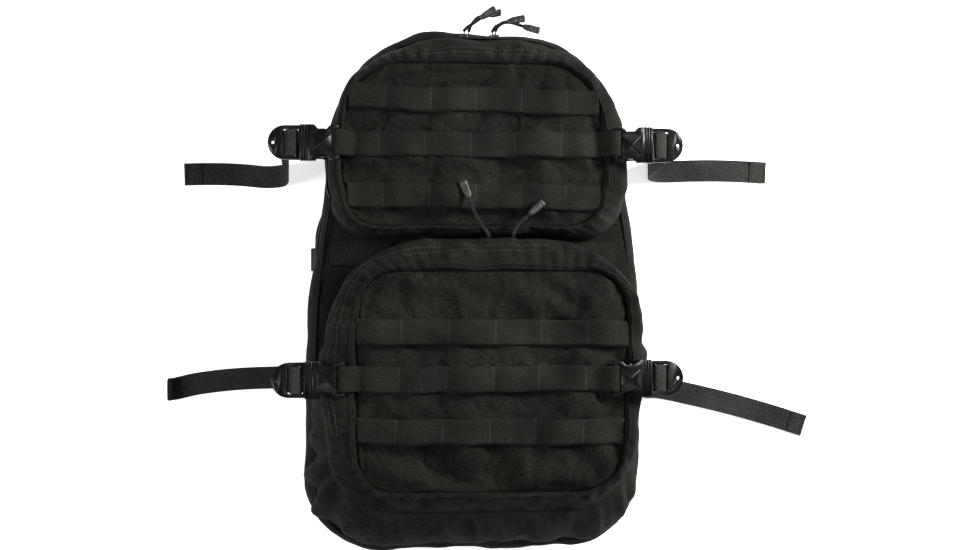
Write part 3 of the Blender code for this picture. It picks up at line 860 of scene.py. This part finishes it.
def pocket_wall(pocket):
    """The pocket's gusset, from the main front up to its zip."""
    shape, foot, shift, z = pocket.shape, pocket.foot, pocket.shift, pocket.zip_z
    drop = shape["bottom"] - foot["bottom"]
    middle = dict(foot, bottom=foot["bottom"] + 0.34 * drop)
    high = dict(shape, bottom=shape["bottom"] - 0.10 * drop)
    stations = [(foot, 0.005, FRONT_MAIN - 0.0010, 0.3 * shift),
                (foot, -0.0010, FRONT_MAIN + 0.004, 0.3 * shift),
                (middle, -0.0022, FRONT_MAIN + 0.45 * (z - FRONT_MAIN), 0.6 * shift),
                (high, -0.0006, z - 0.004, shift),
                (shape, 0.0006, z, shift)]
    wall = shell(pocket.name + "_pocket_wall", stations, folds=pocket.slumps, calm=z,
                 rumples=((0.0012, 0.07, pocket.seed), (0.0006, 0.03, pocket.seed + 1)))
    settle(wall)
    dress(wall, "main_front", "shell_nylon", pocket.name + "_gusset")


def lid_band(pocket):
    """The lid's rolled band with its storm flap, from the zip to the panel's seam."""
    shape, zip_z, top = pocket.shape, pocket.zip_z, pocket.front_z + 0.0022
    outer = outline(**shape, inset=0.0006, shift=pocket.shift)
    inner = outline(**pocket.panel, shift=pocket.panel_shift)
    low = np.clip((shape["bottom"] + 0.055 - outer[:, 1]) / 0.05, 0, 1) ** 1.5 * pocket.slack
    roll = pocket.roll * np.clip((outer[:, 1] - shape["bottom"] - 0.05) / 0.08, 0, 1)
    columns = []
    for t in np.linspace(0, 1, 17):
        a = math.radians(90 * t)
        reach = (1 - low) * (1 - math.cos(a)) ** 1.1 + low * t
        rise = (1 - low) * math.sin(a) ** 0.8 + low * (1 - (1 - t) ** 1.08)
        bulge = pocket.swell * math.sin(2 * a) + roll * math.sin(math.pi * t ** 0.6)
        flat = outer + (inner - outer) * reach[:, None] + outward(outer) * (bulge * (1 - low))[:, None]
        climb = top - zip_z - 0.0016 * low - sag(pocket, flat[:, 1])
        columns.append(at_height(flat, zip_z + 0.0012 * (1 - low) + climb * rise))
    for sink, extra in ((0.0004, 0.0012), (0.0030, 0.0024), (0.0065, 0.0026), (0.0090, 0.0010)):
        flat = inner - outward(inner) * (extra - 0.0006)
        columns.append(at_height(flat, top - sink - sag(pocket, flat[:, 1])))
    grid = loops_to_grid(columns)
    weight = np.sin(np.linspace(0, math.pi, grid.shape[1])) ** 0.7
    grid = grid + pucker(grid, shape, pocket.seed) * weight[:, None]
    band = skin(pocket.name + "_lid_band", grid, CLOTH, close=True)
    subdivide(band)
    thicken(band, CLOTH_T)
    dress(band, pocket.lid, "shell_nylon", pocket.name + "_cover")
    return band, grid


def pucker(grid, shape, seed):
    """Ripples of the rolled edge: gathers at the round corners, a slack roll elsewhere."""
    away = grid - np.array([0.0, 0.5 * (shape["top"] + shape["bottom"]), 0.0])
    away[..., 2] = 0
    away /= np.maximum(np.linalg.norm(away, axis=2), 1e-6)[..., None]
    along = lengths(grid[:, 8])
    corner = np.clip(np.abs(away[:, 8, 0] * away[:, 8, 1]) * 2 - 0.30, 0, 1)
    corner = corner + 0.45 * np.clip(away[:, 8, 1] - 0.6, 0, 1)
    gathers = np.sin(along * 2 * math.pi / 0.015 + 2.6 * np.sin(along * 31.0 + seed)) * corner
    slack = 0.0022 * wander(grid, 0.06, seed + 2) + 0.0011 * wander(grid, 0.024, seed + 3)
    inward = np.linspace(0, 1, grid.shape[1]) ** 2
    ripple = slack + 0.0042 * gathers[:, None] * inward
    return (away * 0.45 + np.array([0, 0, 0.9])) * ripple[..., None]


body_shells()
for pocket_now in POCKETS:
    pocket_wall(pocket_now)
    pocket_now.band, pocket_now.grid = lid_band(pocket_now)


# ---- front panels and their webbing rows --------------------------------------------------
TACK_STEP = 0.0465


def front(pocket):
    """The pocket's panel, and its three rows of webbing with the buckles on the middle one."""
    plan = []
    for name, first, slope in zip(("top", "middle", "bottom"), pocket.first_tacks, pocket.row_slopes):
        low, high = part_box(f"{pocket.name}_row_{name}")
        plan.append((name, (low.y + high.y) / 2, [first + TACK_STEP * k for k in range(5)], slope))
    tacks = [(x, y + slope * x + dy)
             for _, y, xs, slope in plan for x in xs for dy in (-0.009, 0.0, 0.009)]
    panel = pillow(pocket, tacks)
    dress(panel, pocket.lid, "shell_nylon")
    height = surface_of(panel)
    edge = outline(**pocket.panel, shift=pocket.panel_shift, inset=0.0008)
    for name, y, xs, slope in plan:
        level_with = edge[np.abs(edge[:, 1] - y) < 0.004]
        ends = [level_with[:, 0].min() + 0.001, level_with[:, 0].max() - 0.001]
        lifts = (0.0, 0.0)
        if name == "middle":
            left, right = [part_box(f"buckle_socket_{pocket.name}_{tag}") for tag, _ in SIDES]
            ends = [left[1].x - 0.0052, right[0].x + 0.0052]
            lifts = (left[1].z + 0.0004, right[1].z + 0.0004)
        obj, tack = row(f"{pocket.name}_webbing_{name}", y, ends, height, pocket.front_z, xs, slope,
                        pocket.panel_seed + len(name), lifts)
        dress(obj, pocket.lid, "webbing", f"{pocket.name}_row_{name}")
        dress(tack, pocket.lid, "webbing")
    return panel


def lid_lining(pocket):
    """The lid's inner lining, behind the panel."""
    edge = outline(**pocket.panel, inset=-0.0045, shift=pocket.panel_shift, count=160)
    middle = edge.mean(axis=0)
    columns = []
    for share in np.linspace(1.0, 0.04, 14):
        flat = middle + (edge - middle) * share
        columns.append(at_height(flat, pocket.front_z - 0.0110 - sag(pocket, flat[:, 1])))
    lining = skin(pocket.name + "_lid_lining", loops_to_grid(columns), CLOTH, close=True,
                  thick=0.0010, cap=True)
    dress(lining, pocket.lid, "shell_nylon")


for pocket_now in POCKETS:
    pocket_now.front = front(pocket_now)
for pocket_now in POCKETS:
    lid_lining(pocket_now)


# ---- cloth hinges -------------------------------------------------------------------------
def cloth_hinge(name, shape, half, middle, low, high):
    """The lining that holds a lid to its pocket along the bottom, inside both walls.

    It runs from low to high, each (y, z), across the gap between lid and pocket.
    """
    steps = np.linspace(0, 1, 15)
    xs = middle + half * np.linspace(-1, 1, 61)
    grid = np.zeros((len(xs), len(steps), 3))
    grid[:, :, 0] = xs[:, None]
    for k in (1, 2):
        grid[:, :, k] = low[k - 1] + (high[k - 1] - low[k - 1]) * steps[None, :]
    past = np.maximum(np.abs(xs - middle) - (shape["foot"] - shape["r_bottom"]), 0)
    radius = shape["r_bottom"] - 0.004
    grid[:, :, 1] += (radius - np.sqrt(radius ** 2 - past ** 2))[:, None]
    grid[:, :, 1] += 0.0005 * np.sin(xs * 150.0)[:, None] * np.sin(math.pi * steps)[None, :]
    obj = skin(name, grid, CLOTH, thick=0.0012)
    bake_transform(obj)


cloth_hinge("main_hinge_lining", MAIN, 0.135, -0.0030, (-0.2755, ZIP_MAIN - 0.0060),
            (-0.2755, ZIP_MAIN + 0.0060))
cloth_hinge("upper_hinge_lining", UPPER.shape, 0.130, 0.0020, (0.0580, UPPER.zip_z - 0.0050),
            (0.0580, UPPER.zip_z + 0.0070))
cloth_hinge("lower_hinge_lining", LOWER.shape, 0.122, 0.0050, (-0.2290, LOWER.zip_z - 0.0075),
            (-0.2185, LOWER.zip_z + 0.0035))


# ---- stitching, piping and side webbing ---------------------------------------------------
def loop_normals(grid, k):
    along = np.roll(grid[:, k], -1, 0) - np.roll(grid[:, k], 1, 0)
    across = grid[:, k + 1] - grid[:, k - 1]
    normal = np.cross(along, across)
    return normal / np.linalg.norm(normal, axis=1)[:, None]


def seam_lines(pocket, columns, keep):
    """Rows of stitching round the band at these columns of its grid, where keep says so."""
    for number, k in enumerate(columns):
        path, normals = pocket.grid[:, k], loop_normals(pocket.grid, k)
        order = (np.arange(len(path)) + int(np.argmin(path[:, 1]))) % len(path)
        order = order[keep(path)[order]]
        line = stitches(f"{pocket.name}_flap_stitching_{number}", path[order], normals[order])
        dress(line, pocket.lid, "webbing")


seam_lines(UPPER, (11, 13), lambda p: p[:, 1] > 0.215)
seam_lines(LOWER, (9, 11), lambda p: (p[:, 1] > -0.01) | (p[:, 0] < 0) & (p[:, 1] > -0.15))
for pocket_now in POCKETS:
    piping(pocket_now.name + "_flap_piping", pocket_now.grid[:, 15] + (0, 0, 0.0002), 0.0011,
           pocket_now.lid)


def side_rows():
    """Webbing loops across each side of the main compartment, tacked at both zips."""
    tree = tree_of(bpy.data.objects["main_body_wall"])
    zs = np.linspace(0.028, ZIP_MAIN - 0.014, 26)
    stand = 0.0010 * np.sin(np.linspace(0, math.pi, 26)) ** 0.5
    for tag, side in SIDES:
        for number, y in enumerate((0.030, -0.024, -0.078, -0.132, -0.186)):
            xs = []
            for z in zs:
                hits = [tree.ray_cast(Vector((side * OVERHEAD, y + dy, z)), Vector((-side, 0, 0)))[0]
                        for dy in (-0.011, 0.0, 0.011)]
                xs.append(max(abs(h.x) for h in hits if h is not None))
            path = np.column_stack([side * (np.array(xs) + stand), np.full(26, y), zs])
            dress(strap(f"side_loop_{tag}_{number}", path), "pack", "webbing")


def gap_rows():
    """The row of webbing on the main front, seen at both sides of the gap between the pockets."""
    for tag, side in SIDES:
        points = [(side * x, 0.0357, FRONT_MAIN + z) for x, z in
                  ((0.088, 0.0028), (0.110, 0.0030), (0.132, 0.0027), (0.146, 0.0020), (0.153, 0.0008))]
        loop = strap("main_front_webbing_" + tag, smooth_path(points, 0.003))
        dress(loop, "main_front", "webbing")


side_rows()
gap_rows()


# ---- zips ---------------------------------------------------------------------------------
def open_run(shape, start_y, shift):
    """The zip's line: over the top of an outline, down both sides to start_y."""
    points = outline(**shape, inset=-0.0010, shift=shift, count=900)
    points = np.roll(points, -int(np.argmin(points[:, 1])), 0)
    return points[points[:, 1] > start_y]


def tape(name, run, z0, z1):
    """A strip of tape along the run, between two heights, swelling outwards."""
    normal = np.gradient(run, axis=0)
    normal = np.stack([normal[:, 1], -normal[:, 0]], 1) / np.linalg.norm(normal, axis=1)[:, None]
    belly = 0.0006 * np.array([0.35, 0.9, 1.0, 0.9, 0.35])
    zs = np.linspace(z0, z1, 5)
    grid = np.stack([at_height(run + normal * b, z) for z, b in zip(zs, belly)], 1)
    return skin(name, grid, BINDING, thick=0.0008, offset=0.0)


def teeth(name, run, z, offset):
    """One half of the coil: a small rounded link every 2.4 mm."""
    pitch, proud = 0.0024, 0.0004
    half, narrow, deep, tall, low = 0.00065, 0.0004, 0.0013, 0.0014, 0.0010
    block = [(-half, 0, -tall), (half, 0, -tall), (half, 0, tall), (-half, 0, tall),
             (-narrow, deep, -low), (narrow, deep, -low), (narrow, deep, low), (-narrow, deep, low)]
    quads = [(0, 1, 5, 4), (1, 2, 6, 5), (2, 3, 7, 6), (3, 0, 4, 7), (4, 5, 6, 7), (3, 2, 1, 0)]
    line = at_height(run, z)
    far = lengths(line)
    parts = []
    for at in np.arange(0.002 + offset, far[-1] - 0.002, pitch):
        p, q = [np.array([np.interp(s, far, line[:, k]) for k in range(3)]) for s in (at, at + 0.0004)]
        t = (q - p) / np.linalg.norm(q - p)
        out = np.array([t[1], -t[0], 0.0])
        corners = [p + t * u + out * (v + proud) + np.array([0, 0, w]) for u, v, w in block]
        parts.append((np.array(corners), quads))
    return joined(name, parts, COIL)


def zip_line(level, shape, shift, start_y, z, low_body, high_body):
    """Both tapes and both halves of the coil; its middle lies 4 mm under the lid's edge."""
    run = open_run(shape, start_y, shift)
    middle = z - 0.0040
    low = tape(level + "_zip_tape_low", run, middle - 0.0065, middle - 0.0008)
    high = tape(level + "_zip_tape_high", run, middle + 0.0008, middle + 0.0070)
    dress(low, low_body, "zip_coil", level + "_zip")
    dress(high, high_body, "zip_coil")
    dress(teeth(level + "_zip_teeth_low", run, middle - 0.0010, 0.0), low_body, "zip_coil")
    dress(teeth(level + "_zip_teeth_high", run, middle + 0.0010, 0.0012), high_body, "zip_coil")


zip_line("main", MAIN, 0.0, -0.205, ZIP_MAIN, "pack", "main_front")
zip_line("upper", UPPER.shape, UPPER.shift, 0.092, UPPER.zip_z, "main_front", "upper_lid")
zip_line("lower", LOWER.shape, LOWER.shift, -0.150, LOWER.zip_z, "main_front", "lower_lid")


# ---- pull cords and their grips -----------------------------------------------------------
def braid(name, route):
    """A braided cord: its strands cross in relief round a tube."""
    sides = 16
    path = smooth_path(route, 0.0011)
    turns = np.linspace(0, 2 * math.pi, sides, endpoint=False)
    far = lengths(path)[:, None]
    relief = np.cos(4 * turns[None, :] + far * 2300) * np.cos(4 * turns[None, :] - far * 2300)
    rings = round_rings(path, CORD_R * (0.92 + 0.16 * relief), (0.12, 0.93, 0.35), sides)
    uvs = np.array([(s, CORD_R * a) for s in far[:, 0] for a in turns])
    return tube(name, rings, PARACORD, uvs), path


def oval(count, square_u, square_w):
    """Points of a unit circle squared off by two powers, as two arrays."""
    turns = 2 * math.pi * np.arange(count) / count
    u, w = np.cos(turns), np.sin(turns)
    return np.sign(u) * np.abs(u) ** square_u, np.sign(w) * np.abs(w) ** square_w


def grip(name, start, along):
    """A moulded grip: waisted, with three raised bars and a collar where the cord goes in."""
    half_wide, long, half_thick = 0.0039, 0.0190, 0.0026
    along = along / np.linalg.norm(along)
    across = np.cross((0.0, 0.0, 1.0), along)
    across /= np.linalg.norm(across)
    face = np.cross(along, across)
    u, w = oval(20, 0.55, 0.55)
    rings = []
    for s in np.linspace(0, 1, 39):
        end = min(1.0, (min(s, 1 - s) / 0.07) ** 0.5)
        waist = 0.62 + 0.38 * min(1.0, s * 3.2) - 0.05 * math.sin(math.pi * s)
        width = half_wide * waist * (0.55 + 0.45 * end)
        bars = sum(math.exp(-((s - c) / 0.028) ** 2) for c in (0.42, 0.56, 0.70))
        thick = half_thick * (0.70 + 0.16 * bars) * (0.45 + 0.55 * end)
        rings.append(start + along * (s * long) + np.outer(u * width, across) + np.outer(w * thick, face))
    return tube(name, np.array(rings), GRIP, flip=True)


def pull_routes():
    """The way each cord takes, as given points. It starts at y, z in its slider's body."""
    y, z, over = MAIN["top"] + 0.0098, ZIP_MAIN - 0.004, FRONT_MAIN + 0.0075
    routes = {
        "main_pull_left": [(-0.004, y, z), (-0.002, y + 0.003, z + 0.020),
                           (0.004, y + 0.006, z + 0.042), (0.015, y + 0.006, z + 0.055)],
        "main_pull_right": [(0.022, y, z), (0.025, y + 0.001, z + 0.024),
                            (0.036, y, over - 0.003), (0.053, y - 0.005, over)]}
    y, z = 0.2698, UPPER.zip_z - 0.004
    routes["upper_pull_left"] = [(-0.012, y, z), (-0.009, y + 0.002, z + 0.006),
                                 (-0.002, y + 0.006, z + 0.011), (0.006, y + 0.011, z + 0.014)]
    routes["upper_pull_right"] = [(0.021, y, z), (0.023, y + 0.003, z + 0.005),
                                  (0.028, y + 0.007, z + 0.008), (0.035, y + 0.0085, z + 0.009)]
    y, z = 0.0522, LOWER.zip_z - 0.004
    under = surface_of(UPPER.front, UPPER.band, bpy.data.objects["upper_webbing_bottom"])
    for tag, x, dx, dy in (("left", 0.010, -0.020, 0.040), ("right", 0.036, 0.018, 0.024)):
        run = [(x + dx * s, y + dy * s) for s in np.linspace(0.3, 1.45, 24)]
        over = max(under(u, v, UPPER.front_z) for u, v in run) + 0.0025
        routes["lower_pull_" + tag] = [
            (x, y - 0.001, z + 0.0058), (x, y + 0.002, over + 0.0010),
            (x + 0.45 * dx - 0.003, y + 0.5 * dy, over), (x + dx, y + dy, over + 0.0008)]
    return routes


def pulls():
    """The corded pulls."""
    for name, route in pull_routes().items():
        line, path = braid(name + "_braid", route)
        bends_until = path[min(len(path) - 1, 9)]
        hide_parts(name + "_cord")
        tuple(bends_until)
        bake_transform(line)
        ahead = tangents(path)[-1]
        handle = grip(name + "_toggle", path[-1] - 0.002 * ahead, ahead)
        dress(handle, name + "_body", "grip_plastic", name + "_grip")
        long = float(lengths(path)[-1])


pulls()


# ---- compression straps -------------------------------------------------------------------
# Where the strap goes round the ladder lock's bars: outwards from the plug, and up.
WRAP = ((0.0112, -0.0046), (0.0112, -0.0010), (0.0122, 0.0018), (0.0150, 0.0026),
        (0.0190, 0.0026), (0.0216, 0.0018), (0.0227, -0.0010), (0.0234, -0.0046))
# Then down to the floor: outwards from the lock, share of the way along Y, share of its height.
DROP = ((0.0035, 0.20, 0.62), (0.0040, 0.50, 0.34), (0.0070, 0.80, 0.14))
# pocket, side, far end, and how far along Y the tail lies from its lock where it lands and ends
TAILS = ((UPPER, "left", -1, 0.326, -0.0205, -0.0180), (UPPER, "right", 1, 0.352, -0.0113, -0.0120),
         (LOWER, "left", -1, 0.342, -0.0150, -0.0270), (LOWER, "right", 1, 0.398, -0.0300, -0.0760))


def lock_place(pocket, tag):
    """Where the plug meets its socket: distance from the middle, y and z."""
    low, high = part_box(f"buckle_plug_{pocket.name}_{tag}")
    inner = min(abs(low.x), abs(high.x))
    return inner + 0.0195, (low.y + high.y) / 2, (low.z + high.z) / 2


def tail_route(pocket, tag, far, land_y, end_y):
    """The tail's way from the lock, down to the floor and along it, with x outwards."""
    x, y, z = lock_place(pocket, tag)
    lay = WEB_T / 2 + 0.0003
    foot = x + 0.0285
    route = [(x + u, y, z + w) for u, w in WRAP]
    route.append((foot - 0.0010, y + 0.02 * land_y, z - 0.014))
    route += [(foot + dx, y + land_y * share, height * z) for dx, share, height in DROP]
    route += [(foot + 0.0160, y + 0.95 * land_y, lay + 0.0065), (foot + 0.0340, y + land_y, lay + 0.0006)]
    start = foot + 0.034
    for share in (0.25, 0.5, 0.75, 1.0):
        bow = pocket.tail_bow * math.sin(math.pi * share)
        route.append((start + (far - start) * share, y + land_y + (end_y - land_y) * share + bow,
                      lay + 0.0008 * math.sin(share * 9.0) ** 2))
    if (pocket, tag) == (LOWER, "left"):
        end_x, end_y, _ = route.pop()
        route += [(end_x - 0.006, end_y, lay + 0.0010), (end_x - 0.0005, end_y, lay + 0.0070),
                  (end_x - 0.0030, end_y, lay + 0.0135)]
    return route


def tail(pocket, tag, side, far, land_y, end_y):
    """A strap's loose tail from its wrap in the lock to its hemmed end on the floor."""
    name = f"{pocket.name}_{tag}"
    path = smooth_path(tail_route(pocket, tag, far, land_y, end_y), 0.0016) * (side, 1, 1)
    far_along = lengths(path)
    last = far_along[-1]
    across = np.tile(ALONG_Y, (len(path), 1))
    twist = 0.10 * np.sin(far_along * 22.0 + far * 40)
    twist *= np.clip((far_along - 0.03) / 0.03, 0, 1) * np.clip(path[:, 2] / 0.03, 0.0, 1)
    across[:, 2] = twist
    filled = 1 + 0.055 * np.clip(1 - (far_along - 0.012) / 0.006, 0, 1)
    # The tail and its hem use the lighter copy of the webbing: painted light.
    obj = strap(f"strap_{name}_tail", path, across, WEBBING_PAINTED_LIGHT, spread=filled)
    dress(obj, "plug_" + name, "webbing", "strap_tail_" + name)
    t = tangents(path)
    hem = (far_along > last - 0.020) & (far_along <= last - 0.0004)
    lift = np.cross(t, across)
    lift /= np.linalg.norm(lift, axis=1)[:, None]
    lift *= np.sign(lift[:, 2:3] + 1e-9)
    with_hem = [strap(f"strap_{name}_hem", path[hem] + lift[hem] * (WEB_T * 1.02), across[hem],
                      WEBBING_PAINTED_LIGHT, width=WEB * 0.985)]
    dress(with_hem[0], "plug_" + name, "webbing")
    for number, back in enumerate((0.004, 0.016)):
        i = int(np.argmin(np.abs(far_along - (last - back))))
        wide = across[i] - t[i] * np.dot(t[i], across[i])
        line = path[i] + np.outer(np.linspace(-0.44, 0.44, 30) * WEB, wide) + lift[i] * WEB_T * 1.55
        sewn = stitches(f"strap_{name}_hem_stitch_{number}", line, np.tile(lift[i], (30, 1)),
                        pitch=0.0026, dash=0.0018)
        with_hem.append(dress(sewn, "plug_" + name, "webbing"))


def anchor(pocket, tag, side):
    """The sewn strap from the pocket's foot to the lock, in two pieces that meet at the lid's edge."""
    x, y, z = lock_place(pocket, tag)
    name, edge = f"{pocket.name}_{tag}", pocket.zip_z - 0.002
    low_corner, high_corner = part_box(pocket.name + "_gusset")
    wall = abs(high_corner.x if side > 0 else low_corner.x) + 0.0045
    route = [(wall, FRONT_MAIN + 0.0010), (wall + 0.0008, FRONT_MAIN + 0.012),
             (wall + 0.0016, 0.5 * (FRONT_MAIN + pocket.zip_z)), (wall + 0.0026, edge),
             (max(wall + 0.0030, x + 0.0040), pocket.zip_z + 0.006),
             (x + 0.0080, z - 0.0200), (x + 0.0102, z - 0.0110), (x + 0.0112, z - 0.0052)]
    whole = smooth_path([(u, y, w) for u, w in route], 0.0016)
    split = int(np.argmin(np.abs(whole[:, 2] - edge)))
    for part, piece, a, b in (("low", whole[:split + 1], "main_front", pocket.lid),
                              ("high", whole[split:], pocket.lid, "plug_" + name)):
        path = piece * (side, 1, 1)
        obj = strap(f"strap_{name}_{part}", path)
        tuple(path[0])
        tuple(path[-1])
        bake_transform(obj)
        if part == "low":
            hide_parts("strap_anchor_" + name)


for pocket_now, tag_now, side_now, far_x, land, far_y in TAILS:
    tail(pocket_now, tag_now, side_now, far_x, land, far_y)
    anchor(pocket_now, tag_now, side_now)


# ---- the back -----------------------------------------------------------------------------
def cushion(name, shape, z_low, z_high, first, step, edge):
    """A pad with rounded edges, quilted in lines across it every step from first.

    Rings shrink to the middle, above and below. edge is how square its edge is.
    """
    rim = outline(**shape, count=200)
    middle = rim.mean(axis=0)
    half = (z_high - z_low) / 2
    above, below = [], []
    for sign, rings in ((1, above), (-1, below)):
        for s in np.linspace(1.0, 0.02, 34):
            flat = middle + (rim - middle) * s
            z = np.full(len(rim), half * (1 - s ** (2 * edge)) ** 0.5)
            if sign < 0:
                lines = (flat[:, 1] - first) / step
                off = np.abs(lines - np.round(lines)) * step
                z = z - 0.0024 * np.exp(-(off / 0.0028) ** 2) * (s < 0.96)
            rings.append(at_height(flat, (z_low + z_high) / 2 + sign * z))
    grid = loops_to_grid(above[::-1] + below[1:])
    rows, columns = grid.shape[:2]
    faces = grid_faces(rows, columns, close_rows=True)
    faces += [tuple(i * columns for i in range(rows))[::-1],
              tuple(i * columns + columns - 1 for i in range(rows))]
    return link_mesh(name, grid.reshape(-1, 3), faces, NET)


def pad_shape(half, waist, bottom, top, radius):
    return dict(half=half, shoulder=half, foot=half, waist=waist, bottom=bottom, top=top,
                r_top=radius, r_bottom=radius)


def back():
    """The padded back with the lumbar and spine pads on it."""
    rim = 0.006
    body = {key: value - rim for key, value in MAIN.items()}
    body.update(waist=MAIN["waist"], bottom=MAIN["bottom"] + rim, r_bottom=MAIN["r_bottom"])
    lumbar = pad_shape(0.080, -0.190, -0.255, -0.125, 0.03)
    spine = pad_shape(0.030, 0.0, -0.115, 0.200, 0.02)
    for name, node, shape, proud, first, step, edge, fill in (
            ("back_padding", "back_panel", body, 0.0, -0.03, 0.062, 5.0, 0.5),
            ("lumbar_cushion", "lumbar_pad", lumbar, 0.001, 0.0, 0.026, 2.5, 0.7),
            ("spine_cushion", "spine_pad", spine, 0.001, 0.0, 0.026, 2.5, 0.7)):
        low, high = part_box(node)
        pad = cushion(name, shape, low.z, high.z + proud, first, step, edge)
        dress(pad, "pack", "air_mesh", node)


def shoulder(tag, side):
    """A shoulder strap: quilted pad, bound edges, and the webbing to the lower corner."""
    half_wide, half_thick, channels = 0.0212, 0.0062, 7
    route = smooth_path([(side * x, y, 0.0064) for x, y in
                         ((0.052, 0.224), (0.058, 0.150), (0.072, 0.075), (0.086, 0.010),
                          (0.096, -0.050))], 0.003)
    across = flat_sides(route)
    far = lengths(route) / lengths(route)[-1]
    u, w = oval(28, 0.6, 0.8)
    rings = []
    for p, wide, s in zip(route, across, far):
        end = min(1.0, (min(s, 1 - s) / 0.03 + 0.02)) ** 0.5
        channel = 0.0012 * math.exp(-((s * channels - round(s * channels)) / 0.10) ** 2)
        rings.append(p + np.outer(u * half_wide, wide)
                     + np.outer(w * (half_thick * end - channel), (0.0, 0.0, 1.0)))
    pad = tube(f"shoulder_padding_{tag}", np.array(rings), NET)
    dress(pad, "pack", "air_mesh", f"shoulder_strap_{tag}")
    for number, edge in enumerate((-1, 1)):
        bound = rope(route + across * edge * 0.0208, 0.0022)
        dress(joined(f"shoulder_binding_{tag}_{number}", [bound], BINDING), "pack", "webbing")
    ends = smooth_path([(side * x, y, 0.0060) for x, y in
                        ((0.1045, -0.0745), (0.1120, -0.110), (0.1290, -0.170), (0.1440, -0.222))],
                       0.003)
    web = strap(f"shoulder_webbing_{tag}", ends, flat_sides(ends))
    dress(web, "pack", "webbing", f"shoulder_web_{tag}")


def handle():
    """The haul handle: a bowed loop of webbing, sewn down with a cross at each end."""
    y = 0.244
    bow = [(-0.065, 0.0128), (-0.050, 0.0120), (-0.030, 0.0040), (0.0, 0.0024),
           (0.030, 0.0040), (0.050, 0.0120), (0.065, 0.0128)]
    loop = strap("carry_handle", smooth_path([(x, y, z) for x, z in bow], 0.003))
    dress(loop, "pack", "webbing", "haul_handle")
    for number, x in enumerate((-0.058, 0.058)):
        for k, dy in enumerate((0.009, -0.009)):
            line = np.linspace((x - 0.006, y - dy, 0.0110), (x + 0.006, y + dy, 0.0110), 20)
            sewn = stitches(f"carry_handle_stitch_{number}_{k}", line, np.tile([0, 0, -1.0], (20, 1)))
            dress(sewn, "pack", "webbing")


back()
handle()
for tag_now, side_now in SIDES:
    shoulder(tag_now, side_now)


# ---- CAD nodes that stay, and the moulded parts with their edges eased ---------------------
def eased(node_name, body):
    """The CAD part's own shape with small radii on its edges, as it comes from the mould."""
    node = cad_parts[node_name]
    mesh = node.data.copy()
    mesh.transform(node.matrix_world)
    obj = link_object(node_name + "_moulding", mesh)
    bm = bmesh.new()
    bm.from_mesh(mesh)
    bmesh.ops.remove_doubles(bm, verts=bm.verts, dist=1e-6)
    bmesh.ops.dissolve_limit(bm, angle_limit=math.radians(1.0), verts=bm.verts, edges=bm.edges)
    bm.to_mesh(mesh)
    bm.free()
    mesh.materials.clear()
    mesh.materials.append(ACETAL)
    soften = obj.modifiers.new("soften", "BEVEL")
    soften.width = 0.0004
    soften.segments = 2
    soften.limit_method = "ANGLE"
    soften.angle_limit = math.radians(35)
    soften.harden_normals = True
    bake(obj)
    obj.data.shade_smooth()
    obj.data.set_sharp_from_angle(angle=math.radians(50))
    dress(obj, body, "acetal", node_name)


for pocket_now in POCKETS:
    for tag_now, _ in SIDES:
        where_now = f"{pocket_now.name}_{tag_now}"
        eased("buckle_socket_" + where_now, pocket_now.lid)
        eased("buckle_plug_" + where_now, "plug_" + where_now)

KEPT = (("shoulder_lock", ACETAL), ("frame_sheet", POLYMER), ("_slider_", ENAMEL))
for node_name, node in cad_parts.items():
    for part, finish in KEPT:
        if part in node_name and not node.hide_render:
            for place in node.material_slots:
                place.material = finish
